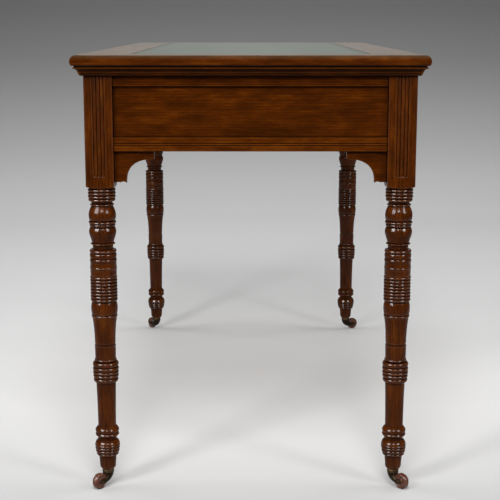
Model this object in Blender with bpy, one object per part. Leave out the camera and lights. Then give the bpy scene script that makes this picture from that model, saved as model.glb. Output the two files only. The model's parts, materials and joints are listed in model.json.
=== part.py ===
"""A writing table with a moulded top, frieze drawers and four turned legs on castors.

Metres, +Z up, origin on the floor under the middle of the top. The long side with
the drawers faces -Y. Each of the four sides is worked out in its own frame: along the
side, outward from the table's middle, and up from the floor.
"""

import math

import bmesh
import bpy
from mathutils import Matrix, Vector

# Overall sizes
TABLE_LENGTH = 1.198
TABLE_DEPTH = 0.598
TABLE_HEIGHT = 0.765

# Clearances and cuts
SEAT_GAP = 0.0003
CUT_OVERRUN = 0.002

# Top board and its leather
TOP_THICKNESS = 0.0175
TOP_OVERHANG = 0.0195
TOP_NOSE_RADIUS = 0.006
TOP_NOSE_STEPS = 4
TOP_LOWER_ARRIS = 0.001
LEATHER_BORDER = 0.092
LEATHER_THICKNESS = 0.001

# Moulding planted under the top, outside the leg blocks
MOULDING_HEIGHT = 0.0165
MOULDING_REACH = 0.015
# Down the section: the drop and the reach, as shares of the two sizes above
MOULDING_SHARES = (
    (0.00, 0.00),
    (0.00, 1.00),
    (0.15, 1.00),
    (0.21, 0.85),
    (0.27, 0.92),
    (0.39, 0.92),
    (0.46, 0.78),
    (0.54, 0.56),
    (0.66, 0.47),
    (0.72, 0.44),
    (0.95, 0.38),
    (1.00, 0.20),
    (1.00, 0.00),
)

# Frieze: rails, panels and the bead sunk in the lower rails
TOP_RAIL_HEIGHT = 0.034
PANEL_HEIGHT = 0.0857
BOTTOM_RAIL_HEIGHT = 0.0236
RAIL_THICKNESS = 0.022
RAIL_SETBACK = 0.003
PANEL_SETBACK = 0.0045
BEAD_DROP = 0.0118
BEAD_WIDTH = 0.0028
BEAD_QUIRK = 0.0012

# Legs: a square reeded block over a turned shaft
BLOCK_WIDTH = 0.048
BLOCK_LENGTH = 0.206
SHOULDER_HEIGHT = 0.0075
SHOULDER_NECK_SHARE = 0.96
SHOULDER_STEPS = 4
TURNING_RADIUS = 0.024
TURNING_SIDES = 16
LEAST_TURNED_STEP = 0.0012
REED_COUNT = 3
REED_WIDTH = 0.0066
REED_DEPTH = 0.0018
REED_STOP = 0.019
REED_CREST_SHARES = ((0.14, 0.45), (0.36, 0.86), (0.64, 0.86), (0.86, 0.45))

# Brackets in the corners between blocks and rails
BRACKET_REACH = 0.068
BRACKET_DROP = 0.054
BRACKET_FOOT = 0.0205
BRACKET_ARM = 0.0135
BRACKET_THICKNESS = 0.012
BRACKET_SETBACK = 0.006
BRACKET_CURVE_POWER = 2.5
BRACKET_CURVE_STEPS = 8
BRACKET_TIP_SHARES = ((1.00, 1.000), (0.88, 0.965), (0.68, 0.955), (0.45, 0.985), (0.00, 0.985))

# Drawers, side by side behind the front
DRAWER_CLEARANCE = 0.001
DIVIDER_WIDTH = 0.024
DRAWER_FRONT_THICKNESS = 0.020
DRAWER_SIDE_THICKNESS = 0.009
DRAWER_BACK_THICKNESS = 0.009
DRAWER_BOTTOM_THICKNESS = 0.006
DRAWER_BOTTOM_LIFT = 0.010
DRAWER_GROOVE_DEPTH = 0.004
DRAWER_SIDE_DROP = 0.006
DRAWER_BACK_SPACE = 0.018
COCK_BEAD_WIDTH = 0.003
COCK_BEAD_HEIGHT = 0.0012
COCK_BEAD_SHARES = ((0.00, 0.0), (0.30, 1.0), (0.70, 1.0), (1.00, 0.0))
RUNNER_WIDTH = 0.0195
RUNNER_HEIGHT = 0.020
GUIDE_HEIGHT = 0.015

# Turned knobs, two on each drawer
KNOB_RADIUS = 0.0165
KNOB_LENGTH = 0.022
KNOB_SIDES = 10
KNOB_SPIGOT_RADIUS = 0.005
KNOB_SPIGOT_LENGTH = 0.014
KNOB_HOLE_CLEARANCE = 0.0004
KNOB_PLACE_SHARE = 0.27
KNOB_SHARES = (
    (0.00, 0.60),
    (0.10, 0.66),
    (0.30, 0.42),
    (0.50, 0.72),
    (0.66, 1.00),
    (0.82, 0.94),
    (0.94, 0.62),
    (1.00, 0.22),
)

# Castors: a plate under the foot, a swivelling horn and a wooden wheel
WHEEL_RADIUS = 0.0144
WHEEL_WIDTH = 0.011
WHEEL_SIDES = 16
WHEEL_EDGE_SHARE = 0.22
AXLE_RADIUS = 0.002
AXLE_CLEARANCE = 0.0004
HORN_ARM_THICKNESS = 0.0022
HORN_SIDE_CLEARANCE = 0.0006
PLATE_RADIUS = 0.0108
PLATE_THICKNESS = 0.003
PLATE_EASE_SHARE = 0.25
CROWN_THICKNESS = 0.003
PINTLE_RADIUS = 0.003
PINTLE_LENGTH = 0.016
PINTLE_CLEARANCE = 0.0005
CASTOR_SIDES = 12
CROWN_LIFT_SHARE = 0.80
TRAIL_SHARE = 0.72
# Rings down the horn: the way along the trail, the rise from the axle to the crown, the
# tilt in degrees, half the thickness as a share of the plate's radius, and how far the
# half width goes from the arms' to the plate's
HORN_SHARES = (
    (0.00, 1.00, 0, 0.92, 0.92),
    (0.03, 0.62, 14, 0.80, 0.40),
    (0.22, 0.14, 38, 0.60, 0.10),
    (0.58, -0.12, 66, 0.44, 0.00),
    (1.00, 0.00, 92, 0.40, 0.00),
    (1.14, 0.12, 110, 0.28, -0.30),
)

# The sides and the corners, each a quarter turn on from the front and from the front right,
# and the way each corner's castor points at rest, round from +X
SIDE_NAMES = ("front", "right", "back", "left")
CORNER_NAMES = ("front_right", "back_right", "back_left", "front_left")
CASTOR_REST_DEGREES = (-40, 42, 118, -140)

SMOOTH_ANGLE = math.radians(70)


# The shaft's members from the block down: how many alike, the length of each as a share of
# the turned length in thousandths, and its radii, spaced evenly down it, in hundredths of the
# widest. No radius is a plain band, one a groove, two a taper, and three a ring or a bulb.
LEG_MEMBER_SHARES = (
    (3, 11.4, (93, 100, 93)),
    (1, 10, (91, 96, 91)),
    (1, 11, (75,)),
    (1, 8, (78, 86, 79)),
    (1, 44, (80, 97, 90)),
    (1, 5, (85,)),
    (1, 14, (93, 98, 93)),
    (1, 7, (84,)),
    (1, 49, (92, 97, 76)),
    (1, 13, (78, 85, 78)),
    (1, 13, (73,)),
    (1, 9, (82, 90, 85)),
    (1, 9, (88, 94, 89)),
    (1, 10, (92, 96, 93)),
    (1, 18, ()),
    (1, 15, (94, 98, 95)),
    (1, 6, (89,)),
    (1, 15, (95, 99, 96)),
    (1, 11, ()),
    (8, 11.3, (91, 98, 91)),
    (1, 9, (87,)),
    (1, 44, (89, 97, 89)),
    (1, 11, (90, 94, 91)),
    (1, 91, (91, 80, 75)),
    (1, 50, (73, 75)),
    (1, 11, (74, 80, 74)),
    (1, 19, (77, 92)),
    (2, 12, (90, 95, 90)),
    (1, 12, (89, 94, 89)),
    (1, 13, (86, 90, 83)),
    (1, 13, (80, 84, 76)),
    (1, 153, (73, 66)),
    (1, 23, (68, 86, 82)),
    (1, 19, (82, 87, 69)),
    (1, 25, (70, 91)),
    (1, 12, (89, 93, 89)),
    (1, 11, (86, 90, 86)),
    (1, 10, (83, 87, 79)),
    (1, 11, (76, 81, 76)),
    (1, 35, (65, 58)),
    (1, 14, (58, 45)),
)

# Heights and planes that follow from the sizes above
UNDER_TOP = TABLE_HEIGHT - TOP_THICKNESS - SEAT_GAP
PANEL_TOP = UNDER_TOP - TOP_RAIL_HEIGHT
PANEL_FOOT = PANEL_TOP - PANEL_HEIGHT
FRIEZE_FOOT = PANEL_FOOT - BOTTOM_RAIL_HEIGHT
BLOCK_FOOT = UNDER_TOP - BLOCK_LENGTH
WHEEL_AXLE_HEIGHT = WHEEL_RADIUS * math.cos(math.pi / WHEEL_SIDES)
CROWN_FOOT = WHEEL_AXLE_HEIGHT + CROWN_LIFT_SHARE * WHEEL_RADIUS
CROWN_TOP = CROWN_FOOT + CROWN_THICKNESS
PLATE_FOOT = CROWN_TOP + SEAT_GAP
PLATE_TOP = PLATE_FOOT + PLATE_THICKNESS
LEG_FOOT = PLATE_TOP + SEAT_GAP
CASTOR_TRAIL = PLATE_RADIUS + TRAIL_SHARE * WHEEL_RADIUS
HALF_BLOCK = BLOCK_WIDTH / 2
LEG_X = TABLE_LENGTH / 2 - TOP_OVERHANG - HALF_BLOCK
LEG_Y = TABLE_DEPTH / 2 - TOP_OVERHANG - HALF_BLOCK


def block_plane(turns):
    """Distance from the table's middle out to the face of a side's leg blocks."""
    extent = TABLE_LENGTH if turns % 2 else TABLE_DEPTH
    return extent / 2 - TOP_OVERHANG


def half_span(turns):
    """Half of the clear width between a side's two leg blocks."""
    return block_plane(turns + 1) - BLOCK_WIDTH


def leg_place(turns):
    """The foot of a corner's leg on the floor."""
    way_x = 1 if turns in (0, 1) else -1
    way_y = 1 if turns in (1, 2) else -1
    return (way_x * LEG_X, way_y * LEG_Y, 0)


def side_point(turns, along, outward, up):
    """A world point from a side's own frame."""
    return Matrix.Rotation(turns * math.pi / 2, 3, "Z") @ Vector((along, -outward, up))


def clear_scene():
    for old in list(bpy.data.objects):
        bpy.data.objects.remove(old, do_unlink=True)


def make_material(name, colour, roughness, metallic=0.0):
    material = bpy.data.materials.new(name)
    material.use_nodes = True
    shader = material.node_tree.nodes["Principled BSDF"]
    shader.inputs["Base Color"].default_value = (*colour, 1.0)
    shader.inputs["Roughness"].default_value = roughness
    shader.inputs["Metallic"].default_value = metallic
    material.diffuse_color = (*colour, 1.0)
    return material


def mesh_from(name, bm):
    bmesh.ops.recalc_face_normals(bm, faces=bm.faces)
    mesh = bpy.data.meshes.new(name)
    bm.to_mesh(mesh)
    bm.free()
    mesh.shade_smooth()
    mesh.set_sharp_from_angle(angle=SMOOTH_ANGLE)
    return mesh


def add_object(name, mesh, material, location=(0, 0, 0), turn=0.0, parent=None):
    """Adds a piece at a place, turned about its own vertical by an angle in radians."""
    piece = bpy.data.objects.new(name, mesh)
    bpy.context.scene.collection.objects.link(piece)
    if material and not mesh.materials:
        mesh.materials.append(material)
    piece.location = location
    piece.rotation_euler.z = turn
    piece.parent = parent
    return piece


def add_axis(name, location, turn=0.0):
    """An empty on a moving piece's axis."""
    axis = bpy.data.objects.new(name, None)
    bpy.context.scene.collection.objects.link(axis)
    axis.location = location
    axis.rotation_euler.z = turn
    axis.empty_display_size = WHEEL_RADIUS
    return axis


def stacked_mesh(name, rings):
    """A solid through rings of points, one above the other, with flat ends."""
    bm = bmesh.new()
    loops = [[bm.verts.new(point) for point in points] for points in rings]
    for lower, upper in zip(loops, loops[1:]):
        for here, point in enumerate(lower):
            there = (here + 1) % len(lower)
            bm.faces.new((point, lower[there], upper[there], upper[here]))
    bm.faces.new(loops[0])
    bm.faces.new(loops[-1])
    return mesh_from(name, bm)


def box_mesh(name, low, high):
    """A box from its low corner to its high corner."""
    (x0, y0, z0), (x1, y1, z1) = low, high
    corners = ((x0, y0), (x1, y0), (x1, y1), (x0, y1))
    return stacked_mesh(name, [[(x, y, z) for x, y in corners] for z in (z0, z1)])


def turned_mesh(name, profile, sides):
    """A solid turned about Z from (height, radius) points, with flat ends."""
    rings = []
    for height, radius in profile:
        steps = [2 * math.pi * (step + 0.5) / sides for step in range(sides)]
        rings.append([(radius * math.cos(a), radius * math.sin(a), height) for a in steps])
    return stacked_mesh(name, rings)


def turned_tube_mesh(name, profile, sides):
    """As turned_mesh, for a closed profile that doesn't reach the axis."""
    bm = bmesh.new()
    loops = []
    for step in range(sides):
        angle = 2 * math.pi * (step + 0.5) / sides
        points = [(r * math.cos(angle), r * math.sin(angle), z) for z, r in profile]
        loops.append([bm.verts.new(point) for point in points])
    for here, loop in enumerate(loops):
        following = loops[(here + 1) % sides]
        for low in range(len(profile)):
            high = (low + 1) % len(profile)
            bm.faces.new((loop[low], following[low], following[high], loop[high]))
    return mesh_from(name, bm)


def bar_mesh(name, section, half_length):
    """A straight length whose (outward, up) section ends at half_length(outward)."""
    ends = []
    for way in (-1, 1):
        ends.append([(way * half_length(outward), -outward, up) for outward, up in section])
    return stacked_mesh(name, ends)


def cut_from_outline(name, outline, thickness):
    """A board sawn to an (along, up) outline, its face at zero and its back inward."""
    faces = [[(along, depth, up) for along, up in outline] for depth in (0, thickness)]
    return stacked_mesh(name, faces)


def combined(name, mesh, steps):
    """The mesh after each (operation, other mesh) Boolean in turn."""
    body = bpy.data.objects.new(name, mesh)
    helpers = [body]
    bpy.context.scene.collection.objects.link(body)
    for operation, other in steps:
        helper = bpy.data.objects.new(other.name, other)
        bpy.context.scene.collection.objects.link(helper)
        helpers.append(helper)
        boolean = body.modifiers.new(operation.title(), "BOOLEAN")
        boolean.operation = operation
        boolean.object = helper
        boolean.solver = "EXACT"
    bpy.context.view_layer.update()
    graph = bpy.context.evaluated_depsgraph_get()
    result = bpy.data.meshes.new_from_object(body.evaluated_get(graph))
    result.name = name
    for helper in helpers:
        bpy.data.objects.remove(helper)
    result.shade_smooth()
    result.set_sharp_from_angle(angle=SMOOTH_ANGLE)
    return result


def rectangle(half_length, half_depth, height):
    corners = ((-1, -1), (1, -1), (1, 1), (-1, 1))
    return [(x * half_length, y * half_depth, height) for x, y in corners]


def make_top(wood, leather):
    """The top board, nosed above and eased below, with the leather let in flush."""
    half_length = TABLE_LENGTH / 2
    half_depth = TABLE_DEPTH / 2
    foot = TABLE_HEIGHT - TOP_THICKNESS
    bed = TABLE_HEIGHT - LEATHER_THICKNESS - SEAT_GAP
    edge = [(TOP_LOWER_ARRIS, foot), (0, foot + TOP_LOWER_ARRIS)]
    for step in range(TOP_NOSE_STEPS + 1):
        angle = step / TOP_NOSE_STEPS * math.pi / 2
        inset = TOP_NOSE_RADIUS * (1 - math.cos(angle))
        edge.append((inset, TABLE_HEIGHT - TOP_NOSE_RADIUS * (1 - math.sin(angle))))
    edge += [(LEATHER_BORDER, TABLE_HEIGHT), (LEATHER_BORDER, bed)]
    rings = [rectangle(half_length - inset, half_depth - inset, z) for inset, z in edge]
    add_object("top_board", stacked_mesh("top_board", rings), wood)
    margin = LEATHER_BORDER + SEAT_GAP
    low = (margin - half_length, margin - half_depth, bed + SEAT_GAP)
    high = (half_length - margin, half_depth - margin, TABLE_HEIGHT)
    add_object("writing_leather", box_mesh("writing_leather", low, high), leather)


def make_mouldings(wood):
    """Four mitred lengths under the top, against the outside of the blocks."""
    section = []
    for drop_share, reach_share in MOULDING_SHARES:
        outward = SEAT_GAP + reach_share * (MOULDING_REACH - SEAT_GAP)
        section.append((outward, UNDER_TOP - drop_share * MOULDING_HEIGHT))
    for turns, side in enumerate(SIDE_NAMES):
        plane = block_plane(turns)
        mitre = block_plane(turns + 1) - SEAT_GAP
        mesh = bar_mesh("top_moulding", section, lambda outward: mitre + outward)
        place = side_point(turns, 0, plane, 0)
        add_object(f"top_moulding_{side}", mesh, wood, place, turns * math.pi / 2)


def rail_section(foot, top):
    """A plain rail's section, its face set back from the leg blocks."""
    face = -RAIL_SETBACK
    back = face - RAIL_THICKNESS
    return [(back, foot), (back, top), (face, top), (face, foot)]


def beaded_rail_section(foot, top):
    """A rail's section with a bead sunk in its face between two quirks."""
    back_foot, back_top, face_top, face_foot = rail_section(foot, top)
    face = face_top[0]
    centre = top - BEAD_DROP
    half_bead = BEAD_WIDTH / 2
    bead = [
        (face, centre + half_bead + BEAD_QUIRK),
        (face - BEAD_QUIRK, centre + half_bead),
        (face, centre),
        (face - BEAD_QUIRK, centre - half_bead),
        (face, centre - half_bead - BEAD_QUIRK),
    ]
    return [back_foot, back_top, face_top, *bead, face_foot]


def make_frieze(wood):
    """Top rail and beaded bottom rail on each side, with a sunk panel but in front."""
    for turns, side in enumerate(SIDE_NAMES):
        half = half_span(turns) - SEAT_GAP
        place = side_point(turns, 0, block_plane(turns), 0)
        turn = turns * math.pi / 2
        sections = (
            ("top_rail", rail_section(PANEL_TOP, UNDER_TOP)),
            ("bottom_rail", beaded_rail_section(FRIEZE_FOOT, PANEL_FOOT)),
        )
        for label, section in sections:
            mesh = bar_mesh(label, section, lambda outward: half)
            add_object(f"{side}_{label}", mesh, wood, place, turn)
        if side == "front":
            continue
        low = (-half, RAIL_SETBACK + PANEL_SETBACK, PANEL_FOOT + SEAT_GAP)
        high = (half, RAIL_SETBACK + RAIL_THICKNESS, PANEL_TOP - SEAT_GAP)
        add_object(f"{side}_panel", box_mesh("panel", low, high), wood, place, turn)


def leg_members():
    """Each member's (length, radii), as lengths, from the block down."""
    whole = sum(count * length for count, length, _ in LEG_MEMBER_SHARES)
    members = []
    for count, length_share, radius_shares in LEG_MEMBER_SHARES:
        length = length_share / whole * (BLOCK_FOOT - LEG_FOOT)
        radii = [share / 100 * TURNING_RADIUS for share in radius_shares]
        members += count * [(length, radii)]
    return members


def leg_profile():
    """The shaft's (height, radius) points, from inside the block down to the castor hole."""
    members = leg_members()
    height = BLOCK_FOOT
    profile = [(height + SHOULDER_HEIGHT, members[0][1][0]), (height, members[0][1][0])]
    for length, radii in members:
        for step, radius in enumerate(radii):
            down = length * step / (len(radii) - 1) if len(radii) > 1 else length / 2
            if math.dist((height - down, radius), profile[-1]) > LEAST_TURNED_STEP:
                profile.append((height - down, radius))
        height -= length
    hole_radius = PINTLE_RADIUS + PINTLE_CLEARANCE
    hole_top = CROWN_TOP + PINTLE_LENGTH + PINTLE_CLEARANCE
    return [*profile, (LEG_FOOT, hole_radius), (hole_top, hole_radius)]


def shoulder_profile():
    """Outline of the lathe's cut that rounds the block's lower corners."""
    neck = SHOULDER_NECK_SHARE * HALF_BLOCK
    clear = HALF_BLOCK * math.sqrt(2) + CUT_OVERRUN
    profile = []
    for step in range(SHOULDER_STEPS + 1):
        angle = step / SHOULDER_STEPS * math.pi / 2
        height = BLOCK_FOOT + SHOULDER_HEIGHT * (1 - math.cos(angle))
        profile.append((height, neck + (clear - neck) * math.sin(angle)))
    return [*profile, (UNDER_TOP + CUT_OVERRUN, clear)]


def reed_outline():
    """What is planed off one face: (across, depth) points over a row of reeds."""
    half_band = REED_COUNT * REED_WIDTH / 2
    outline = [(-half_band, -CUT_OVERRUN), (-half_band, REED_DEPTH)]
    for reed in range(REED_COUNT):
        start = reed * REED_WIDTH - half_band
        for place_share, height_share in REED_CREST_SHARES:
            across = start + place_share * REED_WIDTH
            outline.append((across, REED_DEPTH * (1 - height_share)))
        outline.append((start + REED_WIDTH, REED_DEPTH))
    return [*outline, (half_band, -CUT_OVERRUN)]


def reed_cutter(name, quarter_turns):
    """The planed-off solid on the block's -Y face, turned on to another face if asked."""
    rings = []
    for height in (BLOCK_FOOT + REED_STOP, UNDER_TOP + CUT_OVERRUN):
        rings.append([(x, depth - HALF_BLOCK, height) for x, depth in reed_outline()])
    mesh = stacked_mesh(name, rings)
    mesh.transform(Matrix.Rotation(quarter_turns * math.pi / 2, 4, "Z"))
    return mesh


def make_legs(wood):
    """Each leg in one piece, reeded on its two outer faces."""
    low = (-HALF_BLOCK, -HALF_BLOCK, BLOCK_FOOT)
    block = box_mesh("leg", low, (HALF_BLOCK, HALF_BLOCK, UNDER_TOP))
    steps = [
        ("INTERSECT", turned_mesh("shoulders", shoulder_profile(), 2 * TURNING_SIDES)),
        ("DIFFERENCE", reed_cutter("reeds_first_face", 0)),
        ("DIFFERENCE", reed_cutter("reeds_second_face", 1)),
        ("UNION", turned_mesh("shaft", leg_profile(), TURNING_SIDES)),
    ]
    leg = combined("leg", block, steps)
    for turns, corner in enumerate(CORNER_NAMES):
        add_object(f"leg_{corner}", leg, wood, leg_place(turns), turns * math.pi / 2)


def bracket_outline():
    """(reach, drop) points of a bracket, from its corner round by the arm and the foot."""
    centre_drop = BRACKET_TIP_SHARES[0][1] * BRACKET_DROP
    reach = BRACKET_REACH - BRACKET_FOOT
    rise = centre_drop - BRACKET_ARM
    outline = [(0, 0), (BRACKET_REACH, 0)]
    for step in range(BRACKET_CURVE_STEPS):
        angle = step / BRACKET_CURVE_STEPS * math.pi / 2
        across = math.sin(angle) ** (2 / BRACKET_CURVE_POWER)
        upward = math.cos(angle) ** (2 / BRACKET_CURVE_POWER)
        outline.append((BRACKET_REACH - reach * across, centre_drop - rise * upward))
    for reach_share, drop_share in BRACKET_TIP_SHARES:
        outline.append((reach_share * BRACKET_FOOT, drop_share * BRACKET_DROP))
    return outline


def make_brackets(wood):
    """Two shaped brackets on each side, in the corners under the bottom rail."""
    for turns, side in enumerate(SIDE_NAMES):
        place = side_point(turns, 0, block_plane(turns) - RAIL_SETBACK - BRACKET_SETBACK, 0)
        for way in (-1, 1):
            neighbour = SIDE_NAMES[(turns + way) % len(SIDE_NAMES)]
            block_face = half_span(turns) - SEAT_GAP
            outline = []
            for reach, drop in bracket_outline():
                outline.append((way * (block_face - reach), FRIEZE_FOOT - SEAT_GAP - drop))
            mesh = cut_from_outline("bracket", outline, BRACKET_THICKNESS)
            name = f"bracket_{side}_{neighbour}"
            add_object(name, mesh, wood, place, turns * math.pi / 2)


def make_drawer_carcase(wood, lining):
    """The divider between the drawers and the runners that carry them."""
    face = block_plane(0) - RAIL_SETBACK
    inner = face - RAIL_THICKNESS
    half_divider = DIVIDER_WIDTH / 2
    low = (-half_divider, -face, PANEL_FOOT + SEAT_GAP)
    high = (half_divider, -inner, PANEL_TOP - SEAT_GAP)
    add_object("drawer_divider", box_mesh("drawer_divider", low, high), wood)

    foot = PANEL_FOOT - RUNNER_HEIGHT
    half_flange = half_divider + RUNNER_WIDTH
    guide = PANEL_FOOT + GUIDE_HEIGHT
    section = [
        (-half_flange, foot),
        (half_flange, foot),
        (half_flange, PANEL_FOOT),
        (half_divider, PANEL_FOOT),
        (half_divider, guide),
        (-half_divider, guide),
        (-half_divider, PANEL_FOOT),
        (-half_flange, PANEL_FOOT),
    ]
    reach = inner - SEAT_GAP
    rings = [[(x, y, z) for x, z in section] for y in (-reach, reach)]
    add_object("centre_runner", stacked_mesh("centre_runner", rings), lining)
    outer = half_span(0) - SEAT_GAP
    for label, way in (("left", -1), ("right", 1)):
        edges = sorted((way * outer, way * (outer - RUNNER_WIDTH)))
        mesh = box_mesh("runner", (edges[0], -reach, foot), (edges[1], reach, PANEL_FOOT))
        add_object(f"{label}_runner", mesh, lining)


def drawer_front_mesh(half_width, height):
    """A drawer front with a cock bead round its edge and two blind knob holes."""
    layers = [(0, DRAWER_FRONT_THICKNESS)]
    for inset_share, rise_share in COCK_BEAD_SHARES:
        layers.append((inset_share * COCK_BEAD_WIDTH, -rise_share * COCK_BEAD_HEIGHT))
    rings = []
    for inset, depth in layers:
        reach = half_width - inset
        corners = ((-reach, inset), (reach, inset), (reach, height - inset), (-reach, height - inset))
        rings.append([(x, depth, z) for x, z in corners])
    hole_radius = KNOB_SPIGOT_RADIUS + KNOB_HOLE_CLEARANCE
    hole_end = -KNOB_SPIGOT_LENGTH - KNOB_HOLE_CLEARANCE
    steps = []
    for way in (-1, 1):
        hole = [(CUT_OVERRUN + COCK_BEAD_HEIGHT, hole_radius), (hole_end, hole_radius)]
        cutter = turned_mesh("knob_hole", hole, KNOB_SIDES)
        centre = Matrix.Translation((way * knob_offset(half_width), 0, height / 2))
        cutter.transform(centre @ Matrix.Rotation(math.pi / 2, 4, "X"))
        steps.append(("DIFFERENCE", cutter))
    return combined("drawer_front", stacked_mesh("drawer_front", rings), steps)


def knob_offset(half_width):
    """How far each knob stands from the middle of its drawer."""
    return KNOB_PLACE_SHARE * 2 * half_width


def knob_mesh():
    """A turned knob on its spigot, pointing out of the drawer's face."""
    profile = [(-KNOB_SPIGOT_LENGTH, KNOB_SPIGOT_RADIUS), (SEAT_GAP, KNOB_SPIGOT_RADIUS)]
    for length_share, radius_share in KNOB_SHARES:
        profile.append((SEAT_GAP + length_share * KNOB_LENGTH, radius_share * KNOB_RADIUS))
    mesh = turned_mesh("knob", profile, KNOB_SIDES)
    mesh.transform(Matrix.Rotation(math.pi / 2, 4, "X"))
    return mesh


def drawer_side_outline(half_width, foot, height):
    """(across, up) points of the right-hand side, grooved for the bottom board."""
    outer = half_width
    inner = half_width - DRAWER_SIDE_THICKNESS
    groove = inner + DRAWER_GROOVE_DEPTH
    low = foot + DRAWER_BOTTOM_LIFT - SEAT_GAP
    high = foot + DRAWER_BOTTOM_LIFT + DRAWER_BOTTOM_THICKNESS + SEAT_GAP
    slot = [(inner, high), (groove, high), (groove, low), (inner, low)]
    return [(outer, foot), (outer, height), (inner, height), *slot, (inner, foot)]


def make_drawer(label, way, wood, lining):
    """One drawer round an empty on its front, which slides along -Y."""
    opening = half_span(0) - DIVIDER_WIDTH / 2
    half_width = opening / 2 - DRAWER_CLEARANCE
    front_height = PANEL_HEIGHT - 2 * DRAWER_CLEARANCE
    face = block_plane(0) - RAIL_SETBACK
    length = 2 * face - RAIL_THICKNESS - DRAWER_BACK_SPACE
    place = (way * (DIVIDER_WIDTH + opening) / 2, -face, PANEL_FOOT + DRAWER_CLEARANCE)
    slide = add_axis(f"drawer_{label}_slide", place)

    front = drawer_front_mesh(half_width, front_height)
    add_object(f"drawer_{label}_front", front, wood, parent=slide)
    start = DRAWER_FRONT_THICKNESS + SEAT_GAP
    foot = SEAT_GAP - DRAWER_CLEARANCE
    side_top = front_height - DRAWER_SIDE_DROP
    outline = drawer_side_outline(half_width, foot, side_top)
    for side, hand in (("left_side", -1), ("right_side", 1)):
        rings = [[(hand * x, y, z) for x, z in outline] for y in (start, length)]
        add_object(f"drawer_{label}_{side}", stacked_mesh("drawer_side", rings), lining, parent=slide)
    inner = half_width - DRAWER_SIDE_THICKNESS
    board_foot = foot + DRAWER_BOTTOM_LIFT
    board_top = board_foot + DRAWER_BOTTOM_THICKNESS
    half_board = inner + DRAWER_GROOVE_DEPTH - SEAT_GAP
    board_low = (-half_board, start, board_foot)
    bottom = box_mesh("drawer_bottom", board_low, (half_board, length, board_top))
    add_object(f"drawer_{label}_bottom", bottom, lining, parent=slide)
    back_low = (SEAT_GAP - inner, length - DRAWER_BACK_THICKNESS, board_top + SEAT_GAP)
    back = box_mesh("drawer_back", back_low, (inner - SEAT_GAP, length, side_top))
    add_object(f"drawer_{label}_back", back, lining, parent=slide)
    knob = knob_mesh()
    for side, hand in (("left_knob", -1), ("right_knob", 1)):
        knob_place = (hand * knob_offset(half_width), 0, front_height / 2)
        add_object(f"drawer_{label}_{side}", knob, wood, knob_place, parent=slide)


def horn_mesh():
    """The castor's horn: a crown on a pintle, curved down to two arms that hold the axle."""
    half_width = WHEEL_WIDTH / 2 + HORN_SIDE_CLEARANCE + HORN_ARM_THICKNESS
    rings = []
    for trail_share, rise_share, tilt, thick_share, wide_share in HORN_SHARES:
        centre = Vector((trail_share * CASTOR_TRAIL, 0, WHEEL_AXLE_HEIGHT))
        centre.z += rise_share * (CROWN_FOOT + CROWN_THICKNESS / 2 - WHEEL_AXLE_HEIGHT)
        points = []
        for step in range(CASTOR_SIDES):
            angle = 2 * math.pi * (step + 0.5) / CASTOR_SIDES
            along = math.cos(angle) * thick_share * PLATE_RADIUS
            across = math.sin(angle) * (half_width + wide_share * (PLATE_RADIUS - half_width))
            flat = Vector((along, across, 0))
            points.append(centre + Matrix.Rotation(math.radians(-tilt), 3, "Y") @ flat)
        rings.append(points)
    crown = [
        (CROWN_TOP + PINTLE_LENGTH, PINTLE_RADIUS),
        (CROWN_TOP, PINTLE_RADIUS),
        (CROWN_TOP, PLATE_RADIUS),
        (CROWN_FOOT, PLATE_RADIUS),
    ]
    half_space = WHEEL_WIDTH / 2 + HORN_SIDE_CLEARANCE
    clear = WHEEL_RADIUS + HORN_SIDE_CLEARANCE
    half_axle = half_width + HORN_SIDE_CLEARANCE
    wheel_room = [(-half_space, clear), (half_space, clear)]
    axle_pin = [(-half_axle, AXLE_RADIUS), (half_axle, AXLE_RADIUS)]
    wheel_space = turned_mesh("wheel_space", wheel_room, 2 * CASTOR_SIDES)
    axle = turned_mesh("axle", axle_pin, CASTOR_SIDES)
    axle_place = Matrix.Translation((CASTOR_TRAIL, 0, WHEEL_AXLE_HEIGHT))
    for mesh in (wheel_space, axle):
        mesh.transform(axle_place @ Matrix.Rotation(math.pi / 2, 4, "X"))
    steps = [
        ("UNION", turned_mesh("crown", crown, CASTOR_SIDES)),
        ("DIFFERENCE", wheel_space),
        ("UNION", axle),
    ]
    return combined("castor_horn", stacked_mesh("castor_horn", rings), steps)


def wheel_mesh():
    """A wheel with eased edges, bored for its axle, turned about its own Y."""
    half = WHEEL_WIDTH / 2
    bore = AXLE_RADIUS + AXLE_CLEARANCE
    ease = WHEEL_EDGE_SHARE * WHEEL_WIDTH
    profile = [
        (-half, bore),
        (-half, WHEEL_RADIUS - ease),
        (ease - half, WHEEL_RADIUS),
        (half - ease, WHEEL_RADIUS),
        (half, WHEEL_RADIUS - ease),
        (half, bore),
    ]
    mesh = turned_tube_mesh("castor_wheel", profile, WHEEL_SIDES)
    mesh.transform(Matrix.Rotation(math.pi / 2, 4, "X"))
    return mesh


def plate_mesh():
    """The castor's plate, a ring screwed under the leg, eased round its upper edge."""
    hole = PINTLE_RADIUS + PINTLE_CLEARANCE
    ease = PLATE_EASE_SHARE * PLATE_THICKNESS
    profile = [
        (PLATE_FOOT, hole),
        (PLATE_FOOT, PLATE_RADIUS),
        (PLATE_TOP - ease, PLATE_RADIUS),
        (PLATE_TOP, PLATE_RADIUS - ease),
        (PLATE_TOP, hole),
    ]
    return turned_tube_mesh("castor_plate", profile, CASTOR_SIDES)


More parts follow.
